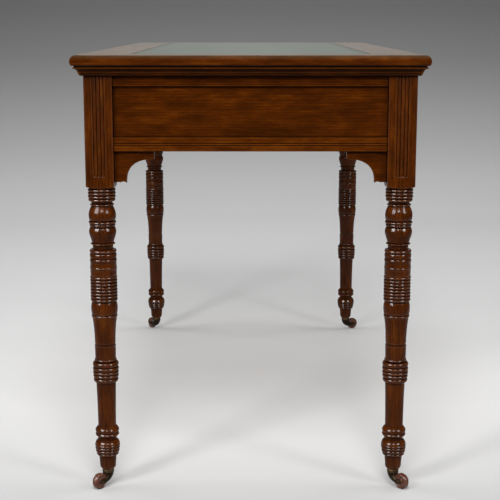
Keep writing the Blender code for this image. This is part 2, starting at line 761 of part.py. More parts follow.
def make_castors(brass, wheel_wood):
    """A castor under each leg, its horn on a swivel empty and its wheel on the horn's axle."""
    plate = plate_mesh()
    horn = horn_mesh()
    wheel = wheel_mesh()
    for turns, (corner, rest_degrees) in enumerate(zip(CORNER_NAMES, CASTOR_REST_DEGREES)):
        place = leg_place(turns)
        add_object(f"castor_plate_{corner}", plate, brass, place)
        swivel = add_axis(f"castor_swivel_{corner}", place, math.radians(rest_degrees))
        add_object(f"castor_horn_{corner}", horn, brass, parent=swivel)
        axle_place = (CASTOR_TRAIL, 0, WHEEL_AXLE_HEIGHT)
        add_object(f"castor_wheel_{corner}", wheel, wheel_wood, axle_place, parent=swivel)


def main():
    clear_scene()
    wood = make_material("polished_walnut", (0.100, 0.030, 0.010), 0.28)
    lining = make_material("oak_lining", (0.330, 0.190, 0.085), 0.65)
    leather = make_material("green_leather", (0.045, 0.075, 0.050), 0.45)
    brass = make_material("aged_brass", (0.180, 0.130, 0.070), 0.42, 1.0)
    wheel_wood = make_material("wheel_wood", (0.120, 0.045, 0.022), 0.40)
    make_top(wood, leather)
    make_mouldings(wood)
    make_frieze(wood)
    make_legs(wood)
    make_brackets(wood)
    make_drawer_carcase(wood, lining)
    make_drawer("left", -1, wood, lining)
    make_drawer("right", 1, wood, lining)
    make_castors(brass, wheel_wood)


main()
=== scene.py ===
"""A writing table with a leather top, reeded and ring-turned legs and castors.

Metres, +Z up. Each side of the table is made in its own frame: X along the side, -Y
outward and Z up, so that the grain of a lengthwise piece runs along its own X. The legs
and the upright pieces have their grain along Z.
"""

import json
import math
from functools import partial

import bmesh
import bpy
from mathutils import Matrix, Vector

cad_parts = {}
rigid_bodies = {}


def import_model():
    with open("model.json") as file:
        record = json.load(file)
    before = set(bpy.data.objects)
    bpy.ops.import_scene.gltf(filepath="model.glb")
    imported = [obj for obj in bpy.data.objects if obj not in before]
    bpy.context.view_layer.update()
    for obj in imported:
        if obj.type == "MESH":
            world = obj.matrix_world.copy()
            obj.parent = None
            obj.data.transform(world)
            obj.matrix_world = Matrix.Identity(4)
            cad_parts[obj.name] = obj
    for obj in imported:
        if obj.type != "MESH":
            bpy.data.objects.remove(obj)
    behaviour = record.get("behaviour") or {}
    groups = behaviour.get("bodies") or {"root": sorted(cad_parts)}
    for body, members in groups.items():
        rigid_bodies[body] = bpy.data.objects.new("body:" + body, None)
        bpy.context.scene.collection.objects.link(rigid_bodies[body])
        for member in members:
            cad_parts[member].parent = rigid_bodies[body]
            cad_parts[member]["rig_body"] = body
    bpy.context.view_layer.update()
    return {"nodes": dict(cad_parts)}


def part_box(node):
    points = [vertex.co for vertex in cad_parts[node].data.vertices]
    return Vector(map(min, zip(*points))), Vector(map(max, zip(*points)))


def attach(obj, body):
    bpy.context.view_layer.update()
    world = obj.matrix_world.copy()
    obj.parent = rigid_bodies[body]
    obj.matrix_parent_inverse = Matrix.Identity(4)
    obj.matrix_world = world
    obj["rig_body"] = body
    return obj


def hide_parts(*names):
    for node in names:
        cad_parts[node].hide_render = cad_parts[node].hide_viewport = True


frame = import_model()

MM = 0.001

SIDE_NAMES = ("front", "right", "back", "left")
CORNER_NAMES = ("front_right", "back_right", "back_left", "front_left")
QUARTER_TURNS = [(0, 0, turns * math.pi / 2) for turns in range(4)]

# Pieces that touch on the real table lie this far from their seats
SEAT_GAP = 0.3 * MM
# Edges that turn by more than these show as sharp, and are rounded where a piece is eased
SHARP_DEGREES = 35
ARRIS_DEGREES = 30
ARRIS_STEPS = 2
# CAD points this near are one, and CAD faces this nearly in line are one
SAME_POINT = 0.01 * MM
SAME_FACE_DEGREES = 1

# The camera: 500 pixels across, looking at the right-hand end from a little above
PICTURE_PIXELS = 500
FOCAL_PIXELS = 1196
SENSOR_WIDTH_MM = 36
CAMERA_PLACE = (2.5914, 0.0024, 0.8207)
CAMERA_PITCH_DEGREES = 10.847
CAMERA_TURN_DEGREES = 90.093

# Lamps: place, what each is turned to, width, height, power and spread in degrees
SOFT_BOXES = {
    "left_soft_box": ((2.35, -1.60, 1.85), (0.45, 0.0, 0.40), 0.55, 0.60, 19, 130),
    "overhead_soft_box": ((2.20, 0.0, 2.75), (0.30, 0.0, 0.40), 1.0, 1.50, 39, 130),
    "right_soft_box": ((2.20, 2.20, 1.80), (0.45, 0.0, 0.40), 0.6, 0.80, 13, 130),
    "front_bank": ((-0.50, -3.30, 2.50), (-0.30, 0.0, 0.30), 2.4, 1.4, 36, 150),
    "back_bank": ((-0.50, 3.30, 2.50), (-0.30, 0.0, 0.30), 2.4, 1.4, 36, 150),
    "ceiling_bank": ((-2.20, 0.0, 3.60), (-2.60, 0.0, 0.0), 5.0, 3.6, 66, 180),
}
# A dim strip along the foot of the backdrop, mirrored by the top
BACK_STRIPS = {
    "back_strip_box": ((-2.60, 0.0, 1.35), (0.0, 0.0, 0.80), 3.0, 0.5, 0.39, 40),
}
# Bright cards that only the turned work and the castors mirror
SHEEN_CARDS = {
    "left_card": ((1.95, -1.80, 1.52), (0.45, 0.0, 0.40), 1.25, 1.15, 84, 130),
    "front_card": ((3.20, -0.10, 2.20), (0.45, 0.0, 0.40), 1.20, 0.45, 34, 130),
    "right_card": ((2.10, 1.85, 1.60), (0.45, 0.0, 0.40), 0.90, 0.90, 40, 130),
}
# The room's light where it falls on things, and where it is seen or mirrored
ROOM_LIGHT = 0.03
ROOM_GREY = 0.15

# Top and leather
NOSE_REACH = 9.5 * MM
NOSE_DROP = 10.5 * MM
NOSE_UNDER_REACH = 3.8 * MM
NOSE_STEPS = 12
LEATHER_BORDER = 92 * MM
LEATHER_EDGE = 0.35 * MM
LEATHER_SHRINK = 2.0 * MM
BED_EDGE = 0.3 * MM

# The moulding under the top: drop and reach down its section, in millimetres
MOULDING_REACH = 15.0
MOULDING_QUIRK = ((0.0, 0.3), (0.0, 13.4), (1.3, 13.4))
MOULDING_BEAD = ((1.5, 13.2), (2.1, 14.4), (3.1, 14.9), (4.1, 14.4), (4.9, 13.0))
MOULDING_HOLLOW = ((5.1, 11.6), (6.6, 9.8), (8.6, 8.6), (10.2, 8.0), (11.0, 8.0))
MOULDING_FOOT = ((11.3, 7.2), (14.6, 6.4), (15.9, 5.2), (16.5, 3.4), (16.5, 0.3))
MOULDING_STEPS = 3

# Rails
RAIL_ARRIS = 0.7 * MM
BEAD_DROP = 11.8 * MM
BEAD_WIDTH = 2.8 * MM
BEAD_QUIRK = 1.2 * MM
BEAD_STEPS = 8

# Leg block and its reeds
BLOCK_WIDTH = 48 * MM
BLOCK_LENGTH = 206 * MM
BLOCK_ARRIS = 0.7 * MM
SHOULDER_HEIGHT = 7.5 * MM
SHOULDER_NECK_SHARE = 0.96
SHOULDER_STEPS = 10
REED_COUNT = 3
REED_WIDTH = 6.6 * MM
REED_DEPTH = 2.0 * MM
REED_CREST_DEPTH = 0.2 * MM
REED_STEPS = 8
REED_STOP = 19 * MM
REED_STOP_SLOPE = 1.2 * MM
REED_STOP_SHARE = 0.1
CUT_OVERRUN = 2 * MM

# The leg's turning from the block down, in millimetres: what each member is, how long, and
# its radii, a ring's at its groove and its crest, or else evenly down it
LEG_TURNING = (
    ("plain", 2.2, 22.3, 22.3),
    *[("ring", 5.6, 20.8, 24.0)] * 3,
    ("ring", 5.6, 20.4, 23.2),
    ("plain", 4.1, 18.3, 17.8),
    ("ring", 3.3, 18.4, 20.6),
    ("plain", 0.6, 18.4, 18.4),
    ("curve", 24.0, 18.6, 20.8, 22.6, 23.4, 23.5, 22.6),
    ("plain", 2.1, 20.3, 20.3),
    ("ring", 4.6, 21.4, 23.7),
    ("ring", 5.3, 20.4, 22.3),
    ("plain", 1.6, 20.0, 20.0),
    ("curve", 27.0, 21.8, 23.4, 23.2, 21.6, 19.9, 18.4),
    ("ring", 2.8, 18.2, 21.2),
    ("plain", 8.4, 17.8, 17.4),
    ("ring", 6.3, 20.4, 23.3),
    ("ring", 9.5, 21.4, 23.2),
    ("ring", 7.5, 21.4, 23.2),
    ("plain", 6.9, 22.5, 22.9),
    ("ring", 4.0, 21.6, 23.3),
    ("plain", 12.3, 22.9, 22.6),
    *[("ring", 5.67, 20.8, 23.6)] * 8,
    ("plain", 1.3, 20.4, 20.4),
    ("curve", 21.4, 21.4, 22.8, 23.1, 22.9, 22.2),
    ("plain", 1.6, 20.8, 20.8),
    ("ring", 4.0, 21.3, 22.6),
    ("curve", 47.3, 21.6, 19.9, 18.9, 18.3, 18.0),
    ("plain", 3.5, 17.2, 17.2),
    ("plain", 24.8, 18.5, 18.0),
    ("ring", 4.3, 17.6, 19.4),
    ("plain", 1.2, 17.8, 17.8),
    ("ring", 9.0, 20.0, 22.8),
    ("ring", 7.5, 20.2, 22.9),
    ("ring", 6.0, 20.2, 22.8),
    ("ring", 6.2, 20.0, 22.5),
    ("ring", 8.3, 18.4, 21.8),
    ("curve", 81.2, 17.4, 16.6, 16.1, 15.8),
    ("curve", 12.3, 16.2, 19.6, 21.0, 19.4),
    ("curve", 8.7, 19.2, 21.0, 19.6, 16.6),
    ("plain", 4.0, 16.0, 16.0),
    ("curve", 8.0, 17.0, 20.4, 21.9),
    ("ring", 5.0, 19.9, 22.4),
    ("ring", 5.2, 19.4, 22.0),
    ("ring", 6.0, 18.5, 21.2),
    ("ring", 5.2, 17.2, 19.6),
    ("curve", 22.6, 15.7, 14.7, 13.9),
    ("plain", 4.1, 13.2, 10.8),
)
LEAST_STEP = 0.05 * MM
TURNED_SIDES = 64
RING_STEPS = 8
CURVE_STEPS = 4
PINTLE_HOLE_RADIUS = 3.5 * MM
PINTLE_HOLE_DEPTH = 13 * MM

# Brackets: their arms in metres, their tips as shares of the foot and the drop
BRACKET_FOOT = 20.5 * MM
BRACKET_ARM = 13.5 * MM
BRACKET_CURVE_POWER = 2.5
BRACKET_CURVE_STEPS = 28
BRACKET_TIP_SHARES = (
    (1.00, 1.000), (0.90, 0.968), (0.78, 0.955), (0.62, 0.962), (0.50, 0.982), (0.30, 0.972),
    (0.00, 0.985),
)
BRACKET_ARRIS = 0.6 * MM

# Drawers and knobs
COCK_BEAD_WIDTH = 3.0 * MM
COCK_BEAD_HEIGHT = 1.2 * MM
COCK_BEAD_STEPS = 8
LINING_ARRIS = 0.5 * MM
KNOB_HOLE_RADIUS = 5.4 * MM
KNOB_HOLE_DEPTH = 14.4 * MM
KNOB_SPIGOT_RADIUS = 5.0 * MM
KNOB_SPIGOT_LENGTH = 14.0 * MM
KNOB_RADIUS = 16.5 * MM
KNOB_LENGTH = 22.0 * MM
# From the knob's neck to its crown: shares of its length and of its radius
KNOB_SHARES = (
    (0.00, 0.60), (0.08, 0.66), (0.14, 0.60), (0.28, 0.43), (0.42, 0.56), (0.54, 0.82),
    (0.66, 1.00), (0.78, 0.97), (0.90, 0.76), (0.97, 0.42), (1.00, 0.04),
)

# Castors
WHEEL_RADIUS = 14.4 * MM
WHEEL_WIDTH = 11 * MM
# Half the wheel's section, from its bore out to its crest: how far across, and out, in
# millimetres
WHEEL_HALF_SECTION = (
    (-5.5, 2.4), (-5.5, 5.2), (-4.7, 5.9), (-4.6, 9.6), (-5.4, 10.4), (-5.4, 11.9),
    (-4.7, 12.9), (-3.1, 13.8), (0.0, 14.1),
)
AXLE_RADIUS = 2.0 * MM
HORN_ARM_THICKNESS = 2.2 * MM
HORN_SIDE_CLEARANCE = 0.6 * MM
PINTLE_RADIUS = 3.0 * MM
PINTLE_LENGTH = 12.5 * MM
CROWN_THICKNESS = 3.0 * MM
CROWN_EASE = CROWN_THICKNESS / 5
RIVET_EASE = HORN_SIDE_CLEARANCE / 2
CASTOR_SIDES = 40
HORN_STEPS = 4
# Down the horn: the way along the trail, the rise from the axle to the crown, the tilt in
# degrees, half the thickness as a share of the plate's radius, and how far the half width
# goes from the arms' to the plate's
HORN_SHARES = (
    (0.00, 1.00, 0, 0.98, 0.95),
    (0.03, 0.62, 14, 0.92, 0.45),
    (0.24, 0.18, 36, 0.80, 0.12),
    (0.60, -0.04, 64, 0.68, 0.00),
    (1.00, 0.00, 90, 0.60, 0.00),
    (1.22, 0.14, 112, 0.40, -0.30),
)


# Small tools

def linear(colour):
    """A hex sRGB colour as linear red, green and blue, with a full alpha."""
    parts = [int(colour[at:at + 2], 16) / 255 for at in (1, 3, 5)]
    values = [c / 12.92 if c <= 0.04045 else ((c + 0.055) / 1.055) ** 2.4 for c in parts]
    return (*values, 1.0)


def add_node(tree, kind, inputs=None, output=0, stops=None, **settings):
    """Adds a node, sets or links its inputs and returns one of its outputs."""
    made = tree.nodes.new(f"ShaderNode{kind}")
    for key, value in settings.items():
        setattr(made, key, value)
    for key, value in (inputs or {}).items():
        if isinstance(value, bpy.types.NodeSocket):
            tree.links.new(value, made.inputs[key])
        elif isinstance(value, str):
            made.inputs[key].default_value = linear(value)
        else:
            made.inputs[key].default_value = value
    if stops:
        ramp = made.color_ramp.elements
        while len(ramp) < len(stops):
            ramp.new(1.0)
        for element, (place, colour) in zip(ramp, stops):
            element.position = place
            element.color = linear(colour) if isinstance(colour, str) else (*[colour] * 3, 1.0)
    return made.outputs[output] if made.outputs else None


def new_material(name, finish=None):
    """An empty material that keeps the name of its finish, and what adds nodes to it."""
    material = bpy.data.materials.new(name)
    material.use_nodes = True
    material.node_tree.nodes.clear()
    if finish:
        material["finish"] = finish
    return material, partial(add_node, material.node_tree)


def new_object(name, data):
    """An object of some data, put into the scene."""
    made = bpy.data.objects.new(name, data)
    bpy.context.scene.collection.objects.link(made)
    return made


def even_angles(whole, steps, first=0):
    """A whole angle's even steps, from the first one to the last."""
    return [step / steps * whole for step in range(first, steps + 1)]


def angles_round(sides):
    """The angles of the corners round a turned shape."""
    return [2 * math.pi * (step + 0.5) / sides for step in range(sides)]


def level_rectangle(x, y, z):
    """The corners of a rectangle round the Z axis, from its half sizes and its height."""
    return [(-x, -y, z), (x, -y, z), (x, y, z), (-x, y, z)]


def smooth_but_sharp(mesh):
    """The mesh shaded smooth, apart from its sharp edges."""
    mesh.shade_smooth()
    mesh.set_sharp_from_angle(angle=math.radians(SHARP_DEGREES))
    return mesh


def mesh_from(name, bm):
    bmesh.ops.recalc_face_normals(bm, faces=bm.faces)
    mesh = bpy.data.meshes.new(name)
    bm.to_mesh(mesh)
    bm.free()
    return smooth_but_sharp(mesh)


def with_modifiers(mesh, modifiers):
    """The mesh after each (kind, settings) modifier. A mesh among the settings gets an object."""
    holder = new_object(mesh.name, mesh)
    helpers = [holder]
    for kind, settings in modifiers:
        modifier = holder.modifiers.new(kind.title(), kind)
        for key, value in settings.items():
            if isinstance(value, bpy.types.Mesh):
                value = new_object(value.name, value)
                helpers.append(value)
            setattr(modifier, key, value)
    bpy.context.view_layer.update()
    graph = bpy.context.evaluated_depsgraph_get()
    result = bpy.data.meshes.new_from_object(holder.evaluated_get(graph))
    result.name = mesh.name
    for helper in helpers:
        bpy.data.objects.remove(helper)
    return result


def combined(mesh, steps):
    """The mesh after each (operation, other mesh) Boolean in turn."""
    booleans = [
        ("BOOLEAN", {"operation": operation, "object": other, "solver": "EXACT"})
        for operation, other in steps
    ]
    result = with_modifiers(mesh, booleans)
    # Normals set before the cuts would hide the new sharp edges
    if result.has_custom_normals:
        result.attributes.remove(result.attributes["custom_normal"])
    return smooth_but_sharp(result)


def flat_faced(mesh):
    """The mesh with its normals weighted by area, so that broad faces shade as flat."""
    return with_modifiers(mesh, [("WEIGHTED_NORMAL", {"keep_sharp": True})])


def lofted(name, rings):
    """A solid through rings of points, with a flat face at each end."""
    bm = bmesh.new()
    loops = [[bm.verts.new(point) for point in points] for points in rings]
    for lower, upper in zip(loops, loops[1:]):
        for here, point in enumerate(lower):
            there = (here + 1) % len(lower)
            bm.faces.new((point, lower[there], upper[there], upper[here]))
    bm.faces.new(loops[0])
    bm.faces.new(loops[-1])
    return mesh_from(name, bm)


def lathed(name, profile, sides):
    """A solid turned about Z from (height, radius) points."""
    angles = angles_round(sides)
    rings = [[(r * math.cos(a), r * math.sin(a), z) for a in angles] for z, r in profile]
    return lofted(name, rings)


def lathed_tube(name, profile, sides):
    """As lathed, for a closed profile that doesn't reach the axis."""
    bm = bmesh.new()
    loops = []
    for angle in angles_round(sides):
        points = [(r * math.cos(angle), r * math.sin(angle), z) for z, r in profile]
        loops.append([bm.verts.new(point) for point in points])
    for here, loop in enumerate(loops):
        following = loops[(here + 1) % sides]
        for low in range(len(profile)):
            high = (low + 1) % len(profile)
            bm.faces.new((loop[low], following[low], following[high], loop[high]))
    return mesh_from(name, bm)


def eased(mesh, width):
    """The mesh with its arrises rounded."""
    bm = bmesh.new()
    bm.from_mesh(mesh)
    least = math.radians(ARRIS_DEGREES)
    arrises = [e for e in bm.edges if e.is_manifold and e.calc_face_angle(0.0) > least]
    bmesh.ops.bevel(
        bm, geom=arrises, offset=width, segments=ARRIS_STEPS, profile=0.5, affect="EDGES",
        clamp_overlap=True,
    )
    return flat_faced(mesh_from(mesh.name, bm))


def smooth_through(points, steps):
    """A Catmull-Rom line through points, with steps between each two."""
    found = []
    for at in range(len(points) - 1):
        four = [points[max(at - 1, 0)], points[at], points[at + 1]]
        four.append(points[min(at + 2, len(points) - 1)])
        for step in range(steps):
            t = step / steps
            weights = (
                (-t + 2 * t**2 - t**3) / 2,
                (2 - 5 * t**2 + 3 * t**3) / 2,
                (t + 4 * t**2 - 3 * t**3) / 2,
                (t**3 - t**2) / 2,
            )
            columns = zip(*four)
            found.append(tuple(sum(w * v for w, v in zip(weights, column)) for column in columns))
    return [*found, tuple(points[-1])]


def middle(low, high):
    return (low + high) / 2


def side_box(node, turns):
    """The lowest and highest corners of a CAD node in a side's own frame."""
    back = Matrix.Rotation(-turns * math.pi / 2, 3, "Z")
    ends = [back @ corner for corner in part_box(node)]
    low, high = ([pick(end[axis] for end in ends) for axis in range(3)] for pick in (min, max))
    return low, high


def fit_piece(name, mesh, material, nodes, place=(0, 0, 0), turn=(0, 0, 0)):
    """Sets a piece in the place of CAD nodes, on their body and in their finish."""
    piece = new_object(name, mesh)
    if not mesh.materials:
        mesh.materials.append(material)
    piece.location = place
    piece.rotation_euler = turn
    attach(piece, frame["nodes"][nodes[0]]["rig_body"])
    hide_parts(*nodes)
    return piece


def fit_copy(name, node, turns, width, material):
    """Sets a CAD node's own shape in its place, with its arrises rounded."""
    bm = bmesh.new()
    bm.from_mesh(frame["nodes"][node].data)
    bm.transform(Matrix.Rotation(-turns * math.pi / 2, 4, "Z"))
    bmesh.ops.remove_doubles(bm, verts=bm.verts, dist=SAME_POINT)
    in_line = math.radians(SAME_FACE_DEGREES)
    bmesh.ops.dissolve_limit(bm, angle_limit=in_line, verts=bm.verts, edges=bm.edges)
    copy = eased(mesh_from(node, bm), width)
    fit_piece(name, copy, material, [node], turn=QUARTER_TURNS[turns])


# Wood in general. Its grain runs along X of the place it is given.

# The mix node's two inputs, its output and its setting, for colours and for vectors
MIX_A, MIX_B, COLOUR_MIX = 6, 7, {"output": 2, "data_type": "RGBA"}
VECTOR_A, VECTOR_B, VECTOR_MIX = 4, 5, {"output": 1, "data_type": "VECTOR"}
# A wave texture at scale 1 repeats 20 times in a full turn's length
WAVES_PER_TURN = 20
# How far apart in the log two pieces may be cut, along and across it, in metres
LOG_SPREAD = (3.1, 0.35, 0.23)
# Boards are sawn nearly along the log, so the year rings move slowly along them
RING_DRIFT = 0.12


def grain_place(add, upright=False):
    """Where a point lies in its log, different in each piece."""
    place = add("TexCoord", output="Object")
    if upright:
        place = add("Mapping", {"Vector": place, "Rotation": (0, math.pi / 2, 0)})
    random = add("ObjectInfo", output="Random")
    apart = add("VectorMath", {0: random, 1: LOG_SPREAD}, operation="MULTIPLY")
    return add("VectorMath", {0: place, 1: apart}, operation="ADD")


def streaks(add, place, length, width, detail, stops):
    """Noise drawn out along the grain, as a value from 0 to 1."""
    stretch = (1 / length, 1 / width, 1 / width)
    drawn_out = add("VectorMath", {0: place, 1: stretch}, operation="MULTIPLY")
    noise = add(
        "TexNoise", {"Vector": drawn_out, "Scale": 1.0, "Detail": detail, "Roughness": 0.6}
    )
    return add("ValToRGB", {"Fac": noise}, stops=stops)


def growth_bands(add, place, band, wander, heart):
    """The year rings of the tree where the board cuts them, from 0 to 1."""
    from_heart = add(
        "VectorMath", {0: place, 1: (RING_DRIFT, 1.0, 1.0), 2: heart}, operation="MULTIPLY_ADD"
    )
    return add(
        "TexWave",
        {
            "Vector": from_heart,
            "Scale": 2 * math.pi / (WAVES_PER_TURN * band),
            "Distortion": wander,
            "Detail": 2.0,
            "Detail Scale": 0.12,
            "Detail Roughness": 0.55,
        },
        output=1, wave_type="RINGS", rings_direction="X",
    )


# Walnut, planed or turned, stained red-brown and polished with shellac and wax. The eye
# gets a deep warm brown with soft growth bands and fine dark pores along the grain, and a
# glassy film that is thickest on the turned rounds and lights them crisply. Crests are
# painted paler, partly as wear and partly as a painted highlight. Quirks and grooves are
# painted dark, partly as wax left in them and partly as painted shade, and broader painted
# shade darkens corners and the places under overhangs. The top's upper face is painted a
# greyer brown, partly as fading by light and partly as a painted reflection, and use has
# dulled it.

WALNUT_STOPS = ((0.22, "#260f01"), (0.45, "#391701"), (0.62, "#481f02"), (0.85, "#603005"))
WALNUT_PORE = "#1a0a02"
# Dark colour for wax in the quirks and grooves, also used as painted shade there and in corners
WALNUT_WAX_AND_SHADE = "#0a0402"
# Paler colour for worn crests, which also serves as a painted highlight on them
WALNUT_RUBBED_AND_HIGHLIGHT = "#80481a"
# The top's upper face in a greyer brown, partly faded by light and partly a painted reflection of
# the pale room
FADED_AND_REFLECTION_STOPS = ((0.20, "#2a2115"), (0.50, "#423624"), (0.85, "#5e4e37"))
FADED_AND_REFLECTION_SHARE = 0.75
FADE_AND_REFLECTION_DEPTH = 6 * MM
# Year rings: how wide, how much they wander, and where the log's heart lies
WALNUT_BANDS = (4.5 * MM, 7.0, (0.0, 70 * MM, 95 * MM))
# Streaks: their length, width and detail, and where in the noise they start and end
WALNUT_RIBBON = (48 * MM, 12 * MM, 3.0, ((0.30, 0.0), (0.70, 1.0)))
WALNUT_FIBRE = (32 * MM, 1.6 * MM, 3.0, ((0.30, 0.0), (0.72, 1.0)))
# Walnut's pores are 0.15 mm wide, drawn wider here so that they show
WALNUT_PORES = (9 * MM, 0.5 * MM, 1.0, ((0.60, 0.0), (0.70, 1.0)))
WALNUT_TONE = 0.235
BAND_SHARE, RIBBON_SHARE, FIBRE_SHARE, PORE_SHARE = 0.09, 0.34, 0.14, 0.65
FIBRE_DEPTH = 0.02 * MM
WALNUT_PORE_DEPTH = 0.05 * MM
POLISH_RIPPLE = 0.02 * MM
POLISH_RIPPLE_SCALE = 60
# Masks that the shape makes: how far each looks, by how many rays, whether into the wood,
# and its share by how open it finds the place
# Wax in quirks and grooves, with painted shade there as well
WAX_AND_SHADE_MASK = (3.4 * MM, 6, False, ((0.52, 0.98), (0.86, 0.0)))
# Painted shade in corners, next to proud parts and under overhangs
PAINTED_SHADE_MASK = (28 * MM, 4, False, ((0.45, 0.50), (0.92, 0.0)))
# Crests painted paler, partly as wear and partly as a painted highlight
RUB_AND_HIGHLIGHT_MASK = (2.2 * MM, 6, True, ((0.72, 1.0), (0.96, 0.0)))
ROUND_REACH = 6 * MM
ROUND_SAMPLES = 6
FLAT_OPENNESS, ROUND_OPENNESS = 0.96, 0.74
SHELLAC_IOR = 1.5
WOOD_ROUGHNESS, WAX_ROUGHNESS, FIBRE_ROUGHNESS = 0.30, 0.50, 0.05
MITRE_OFFSET = 300 * MM
MITRE_LINE = 0.35 * MM
# Each walnut's finish: the haze of its film, the shine of its bare wood, how much paler it
# is, how strong its film is on the flat and on the round, and how far its crests are painted
# paler, partly as wear and partly as a painted highlight
PLAIN_FINISH = {
    "haze": 0.10, "shine": 0.03, "pale": 0.0, "film": 0.07, "round_film": 0.07, "rub_and_highlight": 0.16
}
TURNED_FINISH = {
    **PLAIN_FINISH, "haze": 0.13, "shine": 0.01, "pale": 0.04, "film": 0.16, "round_film": 0.6
}
TOP_FINISH = {
    **PLAIN_FINISH, "haze": 0.26, "shine": 0.05, "pale": 0.08, "film": 0.02, "round_film": 0.02
}
BEADED_RAIL_FINISH = {**PLAIN_FINISH, "pale": 0.10}
# The moulding is made darker as painted shade under the top's overhang, and its bead is rubbed
# paler more strongly, partly as wear and partly as a painted highlight
MOULDING_PAINTED_SHADE_FINISH = {**PLAIN_FINISH, "pale": -0.20, "film": 0.03, "round_film": 0.03, "rub_and_highlight": 0.45}


def polished_walnut(name, haze, shine, pale, film, round_film, rub_and_highlight, upright=False, mitred=False):
    material, add = new_material(name, "polished_walnut")
    place = grain_place(add, upright)
    if mitred:
        bare_place = add("TexCoord", output="Object")
        outward = add("VectorMath", {0: bare_place}, operation="ABSOLUTE")
        along, across = [add("SeparateXYZ", {0: outward}, output=axis) for axis in (0, 1)]
        past = add("Math", {0: along, 1: across}, operation="SUBTRACT")
        at_end = add("Math", {0: past, 1: MITRE_OFFSET}, operation="GREATER_THAN")
        turned_place = add("Mapping", {"Vector": place, "Rotation": (0, 0, math.pi / 2)})
        place = add("Mix", {0: at_end, VECTOR_A: place, VECTOR_B: turned_place}, **VECTOR_MIX)

    bands = growth_bands(add, place, *WALNUT_BANDS)
    ribbon = streaks(add, place, *WALNUT_RIBBON)
    fibre = streaks(add, place, *WALNUT_FIBRE)
    pores = streaks(add, place, *WALNUT_PORES)
    tone = WALNUT_TONE + pale
    for pattern, share in ((bands, BAND_SHARE), (ribbon, RIBBON_SHARE), (fibre, FIBRE_SHARE)):
        tone = add("Math", {0: pattern, 1: share, 2: tone}, operation="MULTIPLY_ADD")
    colour = add("ValToRGB", {"Fac": tone}, stops=WALNUT_STOPS)

    # Masks: wax with painted shade in the grooves, broader painted shade in corners, and crests
    # painted paler as wear and as a painted highlight
    masks = []
    for reach, samples, inside, stops in (WAX_AND_SHADE_MASK, PAINTED_SHADE_MASK, RUB_AND_HIGHLIGHT_MASK):
        openness = add(
            "AmbientOcclusion", {"Distance": reach}, output="AO", samples=samples, inside=inside
        )
        masks.append(add("ValToRGB", {"Fac": openness}, stops=stops))
    wax_and_shade, darkening, rubbed_and_highlit = masks
    pore_share = add("Math", {0: pores, 1: PORE_SHARE}, operation="MULTIPLY")
    rub_and_highlight_share = add("Math", {0: rubbed_and_highlit, 1: rub_and_highlight}, operation="MULTIPLY")
    layers = [(pore_share, WALNUT_PORE), (rub_and_highlight_share, WALNUT_RUBBED_AND_HIGHLIGHT), (darkening, WALNUT_WAX_AND_SHADE)]
    if mitred:
        # The top's upper face turns greyer near its top, as fading and as a painted reflection
        height = add("SeparateXYZ", {0: bare_place}, output=2)
        top_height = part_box("top_board")[1].z
        faded_and_reflection = add(
            "MapRange",
            {
                "Value": height, "From Min": top_height - FADE_AND_REFLECTION_DEPTH, "From Max": top_height,
                "To Max": FADED_AND_REFLECTION_SHARE,
            },
        )
        layers.append((faded_and_reflection, add("ValToRGB", {"Fac": tone}, stops=FADED_AND_REFLECTION_STOPS)))
        mitre = add("Math", {0: past, 1: MITRE_OFFSET, 2: MITRE_LINE}, operation="COMPARE")
        wax_and_shade = add("Math", {0: wax_and_shade, 1: mitre}, operation="MAXIMUM")
    # Pores, worn crests with painted highlights, painted shade in corners, the faded top with its
    # painted reflection, then wax and painted shade in the grooves
    for share, over in [*layers, (wax_and_shade, WALNUT_WAX_AND_SHADE)]:
        colour = add("Mix", {0: share, MIX_A: colour, MIX_B: over}, **COLOUR_MIX)

    ripple = add("TexNoise", {"Vector": place, "Scale": POLISH_RIPPLE_SCALE, "Detail": 1.0})
    skin = add("Bump", {"Height": ripple, "Distance": POLISH_RIPPLE})
    fibres = add("Bump", {"Height": fibre, "Distance": FIBRE_DEPTH, "Normal": skin})
    pitted = add(
        "Bump", {"Height": pores, "Distance": WALNUT_PORE_DEPTH, "Normal": fibres}, invert=True
    )
    depth_within = add(
        "AmbientOcclusion", {"Distance": ROUND_REACH}, output="AO",
        samples=ROUND_SAMPLES, inside=True,
    )
    skin_film = add(
        "MapRange",
        {
            "Value": depth_within, "From Min": FLAT_OPENNESS, "From Max": ROUND_OPENNESS,
            "To Min": film, "To Max": round_film,
        },
    )
    coat = add("MapRange", {"Value": wax_and_shade, "To Min": skin_film, "To Max": 0.0})
    dulled = add("MapRange", {"Value": wax_and_shade, "To Min": WOOD_ROUGHNESS, "To Max": WAX_ROUGHNESS})
    roughness = add("Math", {0: fibre, 1: FIBRE_ROUGHNESS, 2: dulled}, operation="MULTIPLY_ADD")
    surface = add(
        "BsdfPrincipled",
        {
            "Base Color": colour, "Roughness": roughness, "IOR": SHELLAC_IOR,
            "Normal": pitted, "Specular IOR Level": shine,
            "Coat Weight": coat, "Coat Roughness": haze, "Coat Normal": skin,
        },
    )
    add("OutputMaterial", {"Surface": surface})
    return material


# Oak for what slides and carries, sawn and planed but never polished. It is pale and dry,
# with open dark pores, soft bands and no shine.

